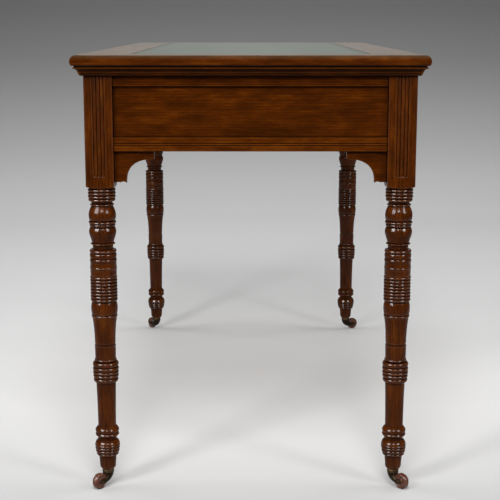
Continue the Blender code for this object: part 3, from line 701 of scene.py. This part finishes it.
OAK_STOPS = ((0.2, "#7c5a37"), (0.5, "#a07c50"), (0.8, "#b99668"))
OAK_PORE = "#5a3c20"
OAK_BANDS = (3.2 * MM, 5.0, (0.0, 40 * MM, 120 * MM))
OAK_FIBRE = (60 * MM, 1.5 * MM, 3.0, ((0.3, 0.0), (0.7, 1.0)))
OAK_PORES = (12 * MM, 0.6 * MM, 1.0, ((0.56, 0.0), (0.66, 1.0)))
OAK_TONE = 0.22
OAK_BAND_SHARE, OAK_FIBRE_SHARE, OAK_PORE_SHARE = 0.16, 0.4, 0.7
OAK_FIBRE_DEPTH = 0.05 * MM
OAK_PORE_DEPTH = 0.12 * MM
OAK_ROUGHNESS = (0.60, 0.75)


def planed_oak():
    material, add = new_material("planed_oak", "oak_lining")
    place = grain_place(add)
    bands = growth_bands(add, place, *OAK_BANDS)
    fibre = streaks(add, place, *OAK_FIBRE)
    pores = streaks(add, place, *OAK_PORES)
    tone = OAK_TONE
    for pattern, share in ((bands, OAK_BAND_SHARE), (fibre, OAK_FIBRE_SHARE)):
        tone = add("Math", {0: pattern, 1: share, 2: tone}, operation="MULTIPLY_ADD")
    colour = add("ValToRGB", {"Fac": tone}, stops=OAK_STOPS)
    pore_share = add("Math", {0: pores, 1: OAK_PORE_SHARE}, operation="MULTIPLY")
    colour = add("Mix", {0: pore_share, MIX_A: colour, MIX_B: OAK_PORE}, **COLOUR_MIX)
    planed = add("Bump", {"Height": fibre, "Distance": OAK_FIBRE_DEPTH})
    pitted = add(
        "Bump", {"Height": pores, "Distance": OAK_PORE_DEPTH, "Normal": planed}, invert=True
    )
    smooth, rough = OAK_ROUGHNESS
    roughness = add("MapRange", {"Value": fibre, "To Min": smooth, "To Max": rough})
    surface = add(
        "BsdfPrincipled", {"Base Color": colour, "Roughness": roughness, "Normal": pitted}
    )
    add("OutputMaterial", {"Surface": surface})
    return material


# Skiver, a thin split sheepskin dyed green, glued down and finished with a pressed line.
# The eye gets a soft satin field of fine pebbles, faded and scuffed where arms have lain
# and darker near the edge, with one narrow line pressed in all round.

SKIVER_STOPS = ((0.25, "#2e3a2f"), (0.55, "#3f4a3d"), (0.80, "#555f51"))
SKIVER_LINE = "#1b241c"
SKIVER_PEBBLE = 0.9 * MM
SKIVER_PEBBLE_DEPTH = 0.07 * MM
SKIVER_PATCH = 70 * MM
SKIVER_PATCH_SHARE = 0.7
SKIVER_SCUFF = 6 * MM
SKIVER_SCUFF_SHARE = 0.35
SKIVER_SCUFF_DEPTH = 0.15 * MM
SKIVER_ROUGHNESS = (0.34, 0.50)
SKIVER_IOR = 1.5
SKIVER_SHINE = 0.33
TOOLED_LINE_INSET = 14 * MM
TOOLED_LINE_HALF_WIDTH = 0.7 * MM
TOOLED_LINE_DEPTH = 0.25 * MM
EDGE_GRIME_WIDTH = 10 * MM
EDGE_GRIME_SHARE = 0.7


def green_skiver(half_length, half_depth):
    material, add = new_material("green_skiver", "green_leather")
    place = add("TexCoord", output="Object")
    patches = add("TexNoise", {"Vector": place, "Scale": 1 / SKIVER_PATCH, "Detail": 4.0})
    scuffs = add(
        "TexNoise", {"Vector": place, "Scale": 1 / SKIVER_SCUFF, "Detail": 5.0, "Roughness": 0.7}
    )
    tone = 0.0
    for pattern, share in ((scuffs, SKIVER_SCUFF_SHARE), (patches, SKIVER_PATCH_SHARE)):
        tone = add("Math", {0: pattern, 1: share, 2: tone}, operation="MULTIPLY_ADD")
    colour = add("ValToRGB", {"Fac": tone}, stops=SKIVER_STOPS)
    outward = add("VectorMath", {0: place}, operation="ABSOLUTE")
    past_edge = add(
        "VectorMath", {0: outward, 1: (half_length, half_depth, 0)}, operation="SUBTRACT"
    )
    past_end, past_side = [add("SeparateXYZ", {0: past_edge}, output=axis) for axis in (0, 1)]
    edge = add("Math", {0: past_end, 1: past_side}, operation="MAXIMUM")
    line = add(
        "Math", {0: edge, 1: -TOOLED_LINE_INSET, 2: TOOLED_LINE_HALF_WIDTH}, operation="COMPARE"
    )
    darkening = add(
        "MapRange",
        {
            "Value": edge, "From Min": -EDGE_GRIME_WIDTH, "From Max": 0.0,
            "To Max": EDGE_GRIME_SHARE,
        },
    )
    darkened = add("Math", {0: line, 1: darkening}, operation="MAXIMUM")
    colour = add("Mix", {0: darkened, MIX_A: colour, MIX_B: SKIVER_LINE}, **COLOUR_MIX)
    pebbles = add("TexVoronoi", {"Vector": place, "Scale": 1 / SKIVER_PEBBLE}, feature="SMOOTH_F1")
    grained = add("Bump", {"Height": pebbles, "Distance": SKIVER_PEBBLE_DEPTH}, invert=True)
    creased = add("Bump", {"Height": scuffs, "Distance": SKIVER_SCUFF_DEPTH, "Normal": grained})
    pressed = add(
        "Bump", {"Height": line, "Distance": TOOLED_LINE_DEPTH, "Normal": creased}, invert=True
    )
    smooth, rough = SKIVER_ROUGHNESS
    roughness = add("MapRange", {"Value": scuffs, "To Min": smooth, "To Max": rough})
    surface = add(
        "BsdfPrincipled",
        {
            "Base Color": colour, "Roughness": roughness, "IOR": SKIVER_IOR,
            "Specular IOR Level": SKIVER_SHINE, "Normal": pressed,
        },
    )
    add("OutputMaterial", {"Surface": surface})
    return material


# Brass, cast and filed for the castors, gone dark brown with age. Only the ridges and the
# rivets that shoes and dusters reach still show yellow metal.

BRASS_TARNISH = "#1d1612"
BRASS_BARE = "#6c5638"
TARNISH_PATCH = 3 * MM
CAST_SKIN = 0.8 * MM
CAST_DEPTH = 0.08 * MM
# How sharp a ridge is before it starts to rub bare, and when it is quite bare
RUBBED_RIDGE = ((0.50, 0.0), (0.60, 1.0))
TARNISH_ROUGHNESS, BARE_ROUGHNESS = 0.52, 0.28


def aged_brass():
    material, add = new_material("aged_brass", "aged_brass")
    place = add("TexCoord", output="Object")
    patches = add("TexNoise", {"Vector": place, "Scale": 1 / TARNISH_PATCH, "Detail": 4.0})
    skin = add("TexNoise", {"Vector": place, "Scale": 1 / CAST_SKIN, "Detail": 3.0})
    sharpness = add("NewGeometry", output="Pointiness")
    ridge = add("ValToRGB", {"Fac": sharpness}, stops=RUBBED_RIDGE)
    bare = add("Math", {0: patches, 1: ridge}, operation="MULTIPLY")
    colour = add("Mix", {0: bare, MIX_A: BRASS_TARNISH, MIX_B: BRASS_BARE}, **COLOUR_MIX)
    roughness = add(
        "MapRange", {"Value": bare, "To Min": TARNISH_ROUGHNESS, "To Max": BARE_ROUGHNESS}
    )
    pitted = add("Bump", {"Height": skin, "Distance": CAST_DEPTH})
    surface = add(
        "BsdfPrincipled",
        {"Base Color": colour, "Metallic": 1.0, "Roughness": roughness, "Normal": pitted},
    )
    add("OutputMaterial", {"Surface": surface})
    return material


# Hardwood wheels, turned and once oiled, scuffed by floors. They are a redder brown than
# the table, with pale scratches along the way they roll.

WHEEL_STOPS = ((0.2, "#220c04"), (0.5, "#4a1f0d"), (0.8, "#6c3a22"))
WHEEL_SCRATCH = "#9a705a"
WHEEL_FIBRE = (14 * MM, 0.9 * MM, 3.0, ((0.3, 0.0), (0.7, 1.0)))
WHEEL_SCUFFS = (6 * MM, 2.5 * MM, 5.0, ((0.53, 0.0), (0.68, 0.65)))
WHEEL_FIBRE_DEPTH = 0.05 * MM
WHEEL_SCUFF_DEPTH = 0.12 * MM
WHEEL_ROUGHNESS = (0.38, 0.62)
WHEEL_SHINE = 0.35


def worn_wheel_wood():
    material, add = new_material("worn_wheel_wood", "wheel_wood")
    place = grain_place(add)
    fibre = streaks(add, place, *WHEEL_FIBRE)
    scuffs = streaks(add, place, *WHEEL_SCUFFS)
    colour = add("ValToRGB", {"Fac": fibre}, stops=WHEEL_STOPS)
    colour = add("Mix", {0: scuffs, MIX_A: colour, MIX_B: WHEEL_SCRATCH}, **COLOUR_MIX)
    worn = add("Bump", {"Height": fibre, "Distance": WHEEL_FIBRE_DEPTH})
    scratched = add(
        "Bump", {"Height": scuffs, "Distance": WHEEL_SCUFF_DEPTH, "Normal": worn}, invert=True
    )
    smooth, rough = WHEEL_ROUGHNESS
    roughness = add("MapRange", {"Value": scuffs, "To Min": smooth, "To Max": rough})
    surface = add(
        "BsdfPrincipled",
        {
            "Base Color": colour, "Roughness": roughness,
            "Specular IOR Level": WHEEL_SHINE, "Normal": scratched,
        },
    )
    add("OutputMaterial", {"Surface": surface})
    return material


# Studio paper for the floor and the backdrop: one plain grey sheet, with the light's falloff
# painted in as shade, so that it is palest round the table and darker towards the front and
# up the wall. It runs out into the grey of the room well outside the picture, so that no
# edge shows.

PAPER_FROM = -1.0
PAPER_TO = 6.0
PAPER_ROUGHNESS = 0.9
# Along the sheet from before the table, under it and up the wall; the darker ends are painted
# shade
PAPER_TONE_AND_SHADE_STOPS = (
    (0.000, "#a2a2a2"), (0.057, "#bdbdbd"), (0.124, "#d4d4d4"), (0.180, "#d7d7d7"),
    (0.273, "#d0d0d0"), (0.417, "#d2d2d2"), (0.516, "#d2d2d2"), (0.584, "#c9c9c9"),
    (0.694, "#adadad"), (0.789, "#8d8d8d"), (0.867, "#787878"),
)
# Where the sheet starts and ends to run out: to both sides, forward and up, in metres
PAPER_ENDS = ((1.6, 3.8), (2.0, 3.4), (1.3, 3.2))


def studio_paper():
    material, add = new_material("studio_paper")
    place = add("TexCoord", output="Object")
    along, across, height = [add("SeparateXYZ", {0: place}, output=axis) for axis in range(3)]
    run = add("Math", {0: height, 1: along}, operation="SUBTRACT")
    share = add("MapRange", {"Value": run, "From Min": PAPER_FROM, "From Max": PAPER_TO})
    colour = add("ValToRGB", {"Fac": share}, stops=PAPER_TONE_AND_SHADE_STOPS)
    surface = add(
        "BsdfPrincipled",
        {"Base Color": colour, "Roughness": PAPER_ROUGHNESS, "Specular IOR Level": 0.0},
    )
    beside = add("Math", {0: across}, operation="ABSOLUTE")
    gone = 0.0
    for reach, (start, end) in zip((beside, along, height), PAPER_ENDS):
        share = add(
            "MapRange", {"Value": reach, "From Min": start, "From Max": end},
            interpolation_type="SMOOTHSTEP",
        )
        gone = add("Math", {0: gone, 1: share}, operation="MAXIMUM")
    seen = add("LightPath", output="Is Camera Ray")
    gone = add("Math", {0: gone, 1: seen}, operation="MULTIPLY")
    room = add("Emission", {"Color": "#ffffff", "Strength": ROOM_GREY})
    sheet = add("MixShader", {0: gone, 1: surface, 2: room})
    add("OutputMaterial", {"Surface": sheet})
    return material


# The table's pieces

def make_top(walnut, skiver):
    """The top board with its nosed edge, and the leather let into it."""
    low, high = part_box("top_board")
    widest = high.z - NOSE_DROP
    edge = []
    for angle in even_angles(math.pi / 2, NOSE_STEPS, -NOSE_STEPS):
        reach, rise = (NOSE_REACH, NOSE_DROP) if angle > 0 else (NOSE_UNDER_REACH, widest - low.z)
        edge.append((reach * (1 - math.cos(angle)), widest + rise * math.sin(angle)))
    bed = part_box("writing_leather")[0].z - SEAT_GAP
    edge += [(LEATHER_BORDER - BED_EDGE, high.z), (LEATHER_BORDER, high.z - BED_EDGE)]
    edge.append((LEATHER_BORDER, bed))
    rings = [level_rectangle(high.x - inset, high.y - inset, height) for inset, height in edge]
    board = flat_faced(lofted("top_board_with_nose", rings))
    fit_piece("top_board_with_nose", board, walnut, ["top_board"])
    low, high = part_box("writing_leather")
    x, y = high.x - LEATHER_SHRINK, high.y - LEATHER_SHRINK
    sheet = lofted("writing_skiver", [level_rectangle(x, y, z) for z in (low.z, high.z)])
    fit_piece("writing_skiver", eased(sheet, LEATHER_EDGE), skiver, ["writing_leather"])


def bar(node, turns, section, mitred=False):
    """A length of (inward, down) section as long as a CAD node, its ends square or mitred."""
    low, high = side_box(node, turns)
    rings = []
    for way in (-1, 1):
        ring = []
        for inward, down in section:
            short = inward if mitred else 0
            ring.append((way * (high[0] - short), low[1] + inward, high[2] - down))
        rings.append(ring)
    return flat_faced(lofted(node, rings))


def make_mouldings(walnut):
    """Four mitred lengths under the top: a quirk, a bead, a hollow and a band."""
    line = [
        *MOULDING_QUIRK,
        *smooth_through(MOULDING_BEAD, MOULDING_STEPS),
        *smooth_through(MOULDING_HOLLOW, MOULDING_STEPS),
        *MOULDING_FOOT,
    ]
    section = [((MOULDING_REACH - reach) * MM, drop * MM) for drop, reach in line]
    for turns, side in enumerate(SIDE_NAMES):
        node = f"top_moulding_{side}"
        moulding, turn = bar(node, turns, section, mitred=True), QUARTER_TURNS[turns]
        fit_piece(f"ogee_moulding_{side}", moulding, walnut, [node], turn=turn)


def beaded_section(thickness, height):
    """A rail's (inward, down) section with a round bead sunk between two quirks."""
    half_bead = BEAD_WIDTH / 2
    section = [(0, RAIL_ARRIS), (0, BEAD_DROP - half_bead - BEAD_QUIRK)]
    for angle in even_angles(math.pi, BEAD_STEPS):
        inward = BEAD_QUIRK * (1 - math.sin(angle))
        section.append((inward, BEAD_DROP - half_bead * math.cos(angle)))
    section += [(0, BEAD_DROP + half_bead + BEAD_QUIRK), (0, height - RAIL_ARRIS)]
    section += [(RAIL_ARRIS, height), (thickness, height), (thickness, 0), (RAIL_ARRIS, 0)]
    return section


def make_frieze(walnut, walnut_rail):
    """The rails on each side, with a sunk panel on all but the front."""
    for turns, side in enumerate(SIDE_NAMES):
        fit_copy(f"upper_rail_{side}", f"{side}_top_rail", turns, RAIL_ARRIS, walnut)
        node = f"{side}_bottom_rail"
        low, high = side_box(node, turns)
        rail = bar(node, turns, beaded_section(high[1] - low[1], high[2] - low[2]))
        fit_piece(f"beaded_rail_{side}", rail, walnut_rail, [node], turn=QUARTER_TURNS[turns])
        if side != "front":
            fit_copy(f"frieze_panel_{side}", f"{side}_panel", turns, RAIL_ARRIS, walnut)


def turned_member(kind, length, radii):
    """A member's (down, radius) points in millimetres."""
    if kind == "ring":
        groove, crest = radii
        return [
            ((1 - math.cos(angle)) / 2 * length, groove + (crest - groove) * math.sin(angle))
            for angle in even_angles(math.pi, RING_STEPS)
        ]
    points = [(length * at / (len(radii) - 1), radius) for at, radius in enumerate(radii)]
    return smooth_through(points, CURVE_STEPS) if kind == "curve" else points


def leg_profile(block_foot, leg_foot):
    """The shaft's (height, radius) points, from inside the block to the pintle's hole."""
    scale = (block_foot - leg_foot) / sum(member[1] for member in LEG_TURNING)
    profile = [(block_foot + SHOULDER_HEIGHT, LEG_TURNING[0][2] * MM)]
    height = block_foot
    for kind, length, *radii in LEG_TURNING:
        for down, radius in turned_member(kind, length, radii):
            point = (height - down * scale, radius * MM)
            if math.dist(point, profile[-1]) > LEAST_STEP:
                profile.append(point)
        height -= length * scale
    hole_top = leg_foot + PINTLE_HOLE_DEPTH
    return [*profile, (leg_foot, PINTLE_HOLE_RADIUS), (hole_top, PINTLE_HOLE_RADIUS)]


def shoulder_profile(block_foot, block_top):
    """Outline of the lathe's cut that rounds the block's lower corners."""
    neck = SHOULDER_NECK_SHARE * BLOCK_WIDTH / 2
    clear = BLOCK_WIDTH / 2 * math.sqrt(2) + CUT_OVERRUN
    profile = []
    for angle in even_angles(math.pi / 2, SHOULDER_STEPS):
        height = block_foot + SHOULDER_HEIGHT * (1 - math.cos(angle))
        profile.append((height, neck + (clear - neck) * math.sin(angle)))
    return [*profile, (block_top + CUT_OVERRUN, clear)]


def reed_cutter(block_foot, block_top, quarter_turns):
    """What the reeding plane takes off a face, with a sloped stop at the foot."""
    half_band = REED_COUNT * REED_WIDTH / 2
    outline = [(-half_band, REED_DEPTH)]
    for reed in range(REED_COUNT):
        for angle in even_angles(math.pi, REED_STEPS, 1):
            across = reed * REED_WIDTH - half_band + REED_WIDTH * (1 - math.cos(angle)) / 2
            rise = (REED_DEPTH - REED_CREST_DEPTH) * math.sin(angle)
            outline.append((across, REED_DEPTH - rise))
    rings = []
    stop = block_foot + REED_STOP
    levels = ((stop, REED_STOP_SHARE), (stop + REED_STOP_SLOPE, 1), (block_top + CUT_OVERRUN, 1))
    for height, share in levels:
        ring = [(x, depth * share - BLOCK_WIDTH / 2, height) for x, depth in outline]
        ring += [(x, -CUT_OVERRUN - BLOCK_WIDTH / 2, height) for x in (half_band, -half_band)]
        rings.append(ring)
    cutter = lofted("reeds", rings)
    cutter.transform(Matrix.Rotation(quarter_turns * math.pi / 2, 4, "Z"))
    return cutter


def make_legs(walnut):
    """Four legs alike, each one turned and reeded piece. Returns them."""
    legs = []
    low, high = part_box("leg_front_right")
    block_foot = high.z - BLOCK_LENGTH
    half = BLOCK_WIDTH / 2
    block = lofted("leg", [level_rectangle(half, half, z) for z in (block_foot, high.z)])
    profile = leg_profile(block_foot, low.z)
    cuts = [
        ("INTERSECT", lathed("shoulders", shoulder_profile(block_foot, high.z), 2 * TURNED_SIDES)),
        ("DIFFERENCE", reed_cutter(block_foot, high.z, 0)),
        ("DIFFERENCE", reed_cutter(block_foot, high.z, 1)),
        ("UNION", lathed("shaft", profile, TURNED_SIDES)),
    ]
    leg = flat_faced(combined(eased(block, BLOCK_ARRIS), cuts))
    for turns, corner in enumerate(CORNER_NAMES):
        place = middle(*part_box(f"castor_plate_{corner}"))
        place.z = 0
        name, node, turn = f"turned_leg_{corner}", f"leg_{corner}", QUARTER_TURNS[turns]
        legs.append(fit_piece(name, leg, walnut, [node], place, turn))
    return legs


def bracket_outline(reach, drop):
    """(reach, drop) points of a bracket, from its corner round by the arm and the foot."""
    across_curve = reach - BRACKET_FOOT
    rise = drop - BRACKET_ARM
    outline = [(0, 0), (reach, 0)]
    for angle in even_angles(math.pi / 2, BRACKET_CURVE_STEPS)[:-1]:
        across = math.sin(angle) ** (2 / BRACKET_CURVE_POWER)
        upward = math.cos(angle) ** (2 / BRACKET_CURVE_POWER)
        outline.append((reach - across_curve * across, drop - rise * upward))
    for foot_share, drop_share in BRACKET_TIP_SHARES:
        outline.append((foot_share * BRACKET_FOOT, drop_share * drop))
    return outline


def make_brackets(walnut):
    """Two shaped brackets on each side."""
    for turns, side in enumerate(SIDE_NAMES):
        for way in (-1, 1):
            neighbour = SIDE_NAMES[(turns + way) % len(SIDE_NAMES)]
            node = f"bracket_{side}_{neighbour}"
            low, high = side_box(node, turns)
            corner = high[0] if way > 0 else low[0]
            shape = bracket_outline(high[0] - low[0], high[2] - low[2])
            rings = [
                [(corner - way * reach, depth, high[2] - drop) for reach, drop in shape]
                for depth in (low[1], high[1])
            ]
            bracket = eased(lofted(node, rings), BRACKET_ARRIS)
            fit_piece(f"shaped_{node}", bracket, walnut, [node], turn=QUARTER_TURNS[turns])


def make_drawer_carcase(walnut_upright, oak):
    """The divider between the drawers and the runners under them."""
    fit_copy("divider_between_drawers", "drawer_divider", 0, LINING_ARRIS, walnut_upright)
    for node in ("left_runner", "centre_runner", "right_runner"):
        fit_copy(f"oak_{node}", node, 1, LINING_ARRIS, oak)


def drawer_front(node, knob_places):
    """A drawer front with a round cock bead and two blind holes for the knobs."""
    low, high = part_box(node)
    face = low.y + COCK_BEAD_HEIGHT
    layers = [(0, high.y), (0, face)]
    for angle in even_angles(math.pi, COCK_BEAD_STEPS, 1):
        inset = COCK_BEAD_WIDTH * (1 - math.cos(angle)) / 2
        layers.append((inset, face - COCK_BEAD_HEIGHT * math.sin(angle)))
    rings = []
    for inset, depth in layers:
        x0, x1 = low.x + inset, high.x - inset
        z0, z1 = low.z + inset, high.z - inset
        rings.append([(x0, depth, z0), (x1, depth, z0), (x1, depth, z1), (x0, depth, z1)])
    holes = []
    for place in knob_places:
        profile = [(CUT_OVERRUN, KNOB_HOLE_RADIUS), (-KNOB_HOLE_DEPTH, KNOB_HOLE_RADIUS)]
        hole = lathed("knob_hole", profile, CASTOR_SIDES)
        hole.transform(Matrix.Translation(place) @ Matrix.Rotation(math.pi / 2, 4, "X"))
        holes.append(("DIFFERENCE", hole))
    return flat_faced(combined(lofted(node, rings), holes))


def turned_knob():
    """A knob on its spigot, pointing up its own Z."""
    spigot = [(-KNOB_SPIGOT_LENGTH, KNOB_SPIGOT_RADIUS), (SEAT_GAP, KNOB_SPIGOT_RADIUS)]
    shape = [
        (SEAT_GAP + length_share * KNOB_LENGTH, radius_share * KNOB_RADIUS)
        for length_share, radius_share in smooth_through(KNOB_SHARES, CURVE_STEPS)
    ]
    return lathed("knob", [*spigot, *shape], CASTOR_SIDES)


def make_drawers(walnut, walnut_upright, oak):
    """Two drawers, each a beaded front on an oak box with two knobs. Returns the knobs."""
    knobs = []
    knob = turned_knob()
    for drawer in ("drawer_left", "drawer_right"):
        front_node = f"{drawer}_front"
        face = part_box(front_node)[0].y + COCK_BEAD_HEIGHT
        places = []
        for side in ("left_knob", "right_knob"):
            place = middle(*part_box(f"{drawer}_{side}"))
            place.y = face
            places.append(place)
        front = drawer_front(front_node, places)
        fit_piece(f"{drawer}_beaded_front", front, walnut, [front_node])
        for side, place in zip(("left_knob", "right_knob"), places):
            node = f"{drawer}_{side}"
            turn = (math.pi / 2, 0, 0)
            name = f"{drawer}_turned_{side}"
            knobs.append(fit_piece(name, knob, walnut_upright, [node], place, turn))
        for label, turns in (("left_side", 1), ("right_side", 1), ("bottom", 0), ("back", 0)):
            fit_copy(f"{drawer}_oak_{label}", f"{drawer}_{label}", turns, LINING_ARRIS, oak)
    return knobs


def castor_horn(trail, axle_height, crown_foot, plate_radius):
    """A crown on a pintle, curved down to two arms that hold a riveted axle."""
    half_width = WHEEL_WIDTH / 2 + HORN_SIDE_CLEARANCE + HORN_ARM_THICKNESS
    rings = []
    for way, rise, tilt, thick, wide in smooth_through(HORN_SHARES, HORN_STEPS):
        height = axle_height + rise * (crown_foot + CROWN_THICKNESS / 2 - axle_height)
        turned = Matrix.Rotation(math.radians(-tilt), 3, "Y")
        ring = []
        for angle in angles_round(CASTOR_SIDES):
            along = math.cos(angle) * thick * plate_radius
            across = math.sin(angle) * (half_width + wide * (plate_radius - half_width))
            ring.append(Vector((way * trail, 0, height)) + turned @ Vector((along, across, 0)))
        rings.append(ring)
    crown_top = crown_foot + CROWN_THICKNESS
    crown = [
        (crown_top + PINTLE_LENGTH, PINTLE_RADIUS),
        (crown_top, PINTLE_RADIUS),
        (crown_top, plate_radius - CROWN_EASE),
        (crown_top - CROWN_EASE, plate_radius),
        (crown_foot + CROWN_EASE, plate_radius),
        (crown_foot, plate_radius - CROWN_EASE),
    ]
    half_space = WHEEL_WIDTH / 2 + HORN_SIDE_CLEARANCE
    clear = WHEEL_RADIUS + HORN_SIDE_CLEARANCE
    half_axle = half_width + HORN_SIDE_CLEARANCE
    axle = [
        (-half_axle, AXLE_RADIUS - RIVET_EASE),
        (RIVET_EASE - half_axle, AXLE_RADIUS),
        (half_axle - RIVET_EASE, AXLE_RADIUS),
        (half_axle, AXLE_RADIUS - RIVET_EASE),
    ]
    space = lathed("wheel_space", [(-half_space, clear), (half_space, clear)], 2 * CASTOR_SIDES)
    pin = lathed("axle", axle, CASTOR_SIDES)
    across = Matrix.Translation((trail, 0, axle_height)) @ Matrix.Rotation(math.pi / 2, 4, "X")
    for mesh in (space, pin):
        mesh.transform(across)
    steps = [
        ("UNION", lathed("crown", crown, CASTOR_SIDES)),
        ("DIFFERENCE", space),
        ("UNION", pin),
    ]
    return combined(lofted("castor_horn", rings), steps)


def make_castors(brass, wheel_wood):
    """A plate, a horn and a wheel under each leg, as their CAD nodes stand. Returns them."""
    fitted = []
    plate_low, plate_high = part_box("castor_plate_front_right")
    plate_radius = round((plate_high.x - plate_low.x) / 2, 4)
    wheel_middle = middle(*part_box("castor_wheel_front_right"))
    trail = (wheel_middle - middle(plate_low, plate_high)).xy.length
    crown_foot = plate_low.z - SEAT_GAP - CROWN_THICKNESS

    ease = (plate_high.z - plate_low.z) / 4
    profile = [
        (plate_low.z, PINTLE_HOLE_RADIUS),
        (plate_low.z, plate_radius - ease / 2),
        (plate_low.z + ease / 2, plate_radius),
        (plate_high.z - ease, plate_radius),
        (plate_high.z - ease / 4, plate_radius - ease / 2),
        (plate_high.z, plate_radius - ease),
        (plate_high.z, PINTLE_HOLE_RADIUS),
    ]
    plate = lathed_tube("castor_plate", profile, CASTOR_SIDES)
    horn = castor_horn(trail, wheel_middle.z, crown_foot, plate_radius)
    other_half = [(-across, out) for across, out in reversed(WHEEL_HALF_SECTION[:-1])]
    section = [(across * MM, out * MM) for across, out in (*WHEEL_HALF_SECTION, *other_half)]
    wheel = lathed_tube("castor_wheel", section, TURNED_SIDES)
    wheel.transform(Matrix.Rotation(math.pi / 2, 4, "X"))
    for corner in CORNER_NAMES:
        place = middle(*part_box(f"castor_plate_{corner}"))
        place.z = 0
        axle = middle(*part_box(f"castor_wheel_{corner}"))
        turn = (0, 0, math.atan2(axle.y - place.y, axle.x - place.x))
        for name, kind, mesh, material, at, angles in (
            ("screwed_plate", "plate", plate, brass, place, (0, 0, 0)),
            ("swivel_horn", "horn", horn, brass, place, turn),
            ("turned_wheel", "wheel", wheel, wheel_wood, axle, turn),
        ):
            node = f"castor_{kind}_{corner}"
            fitted.append(fit_piece(f"{name}_{corner}", mesh, material, [node], at, angles))
    return fitted


# The studio

FLOOR_HALF_WIDTH = 7.0
FLOOR_FRONT = 4.0
BACKDROP_DISTANCE = 4.6
BACKDROP_BEND = 2.2
BACKDROP_HEIGHT = 5.0
BEND_STEPS = 16


def make_studio(shiny_pieces):
    """A sheet of paper down the wall and over the floor, the lamps and the camera."""
    line = [(FLOOR_FRONT, 0.0)]
    for angle in even_angles(math.pi / 2, BEND_STEPS):
        run = BACKDROP_BEND - BACKDROP_DISTANCE - BACKDROP_BEND * math.sin(angle)
        line.append((run, BACKDROP_BEND * (1 - math.cos(angle))))
    line.append((-BACKDROP_DISTANCE, BACKDROP_HEIGHT))
    bm = bmesh.new()
    sides = []
    for y in (-FLOOR_HALF_WIDTH, FLOOR_HALF_WIDTH):
        sides.append([bm.verts.new((x, y, z)) for x, z in line])
    for at in range(len(line) - 1):
        bm.faces.new((sides[0][at], sides[1][at], sides[1][at + 1], sides[0][at + 1]))
    paper = new_object("paper_sheet", mesh_from("paper_sheet", bm))
    paper.data.materials.append(studio_paper())

    mirrored_in = bpy.data.collections.new("turned_work_and_castors")
    for piece in shiny_pieces:
        mirrored_in.objects.link(piece)
    lamps = {**SOFT_BOXES, **BACK_STRIPS, **SHEEN_CARDS}
    for name, (place, target, width, height, power, spread) in lamps.items():
        lamp = bpy.data.lights.new(name, "AREA")
        lamp.shape = "RECTANGLE"
        lamp.size = width
        lamp.size_y = height
        lamp.energy = power
        lamp.spread = math.radians(spread)
        box = new_object(name, lamp)
        box.location = place
        box.rotation_euler = (Vector(place) - Vector(target)).to_track_quat("Z", "Y").to_euler()
        box.visible_glossy = name not in SOFT_BOXES
        box.visible_diffuse = name in SOFT_BOXES
        if name in SHEEN_CARDS:
            box.light_linking.receiver_collection = mirrored_in

    world = bpy.data.worlds.new("dim_room")
    world.use_nodes = True
    world.node_tree.nodes.clear()
    add = partial(add_node, world.node_tree)
    seen = 0.0
    for kind in ("Is Camera Ray", "Is Glossy Ray", "Is Transmission Ray"):
        ray = add("LightPath", output=kind)
        seen = add("Math", {0: seen, 1: ray}, operation="MAXIMUM")
    strength = add("MapRange", {"Value": seen, "To Min": ROOM_LIGHT, "To Max": ROOM_GREY})
    room = add("Background", {"Color": "#ffffff", "Strength": strength})
    add("OutputWorld", {"Surface": room})
    bpy.context.scene.world = world

    lens = bpy.data.cameras.new("end_view")
    lens.sensor_width = SENSOR_WIDTH_MM
    lens.lens = FOCAL_PIXELS / PICTURE_PIXELS * SENSOR_WIDTH_MM
    camera = new_object("end_view", lens)
    camera.location = CAMERA_PLACE
    angles = (90 - CAMERA_PITCH_DEGREES, 0, CAMERA_TURN_DEGREES)
    camera.rotation_euler = [math.radians(angle) for angle in angles]
    bpy.context.scene.camera = camera
    bpy.context.scene.view_settings.view_transform = "Standard"


def main():
    walnut = polished_walnut("walnut_along", **PLAIN_FINISH)
    walnut_upright = polished_walnut("walnut_upright", **TURNED_FINISH, upright=True)
    walnut_mitred = polished_walnut("walnut_mitred", **TOP_FINISH, mitred=True)
    walnut_rail = polished_walnut("walnut_beaded_rail", **BEADED_RAIL_FINISH)
    walnut_moulding = polished_walnut("walnut_moulding", **MOULDING_PAINTED_SHADE_FINISH)
    oak = planed_oak()
    leather_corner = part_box("writing_leather")[1]
    skiver = green_skiver(leather_corner.x, leather_corner.y)
    brass = aged_brass()
    wheel_wood = worn_wheel_wood()
    make_top(walnut_mitred, skiver)
    make_mouldings(walnut_moulding)
    make_frieze(walnut, walnut_rail)
    legs = make_legs(walnut_upright)
    make_brackets(walnut)
    make_drawer_carcase(walnut_upright, oak)
    knobs = make_drawers(walnut, walnut_upright, oak)
    castors = make_castors(brass, wheel_wood)
    make_studio([*legs, *knobs, *castors])


main()
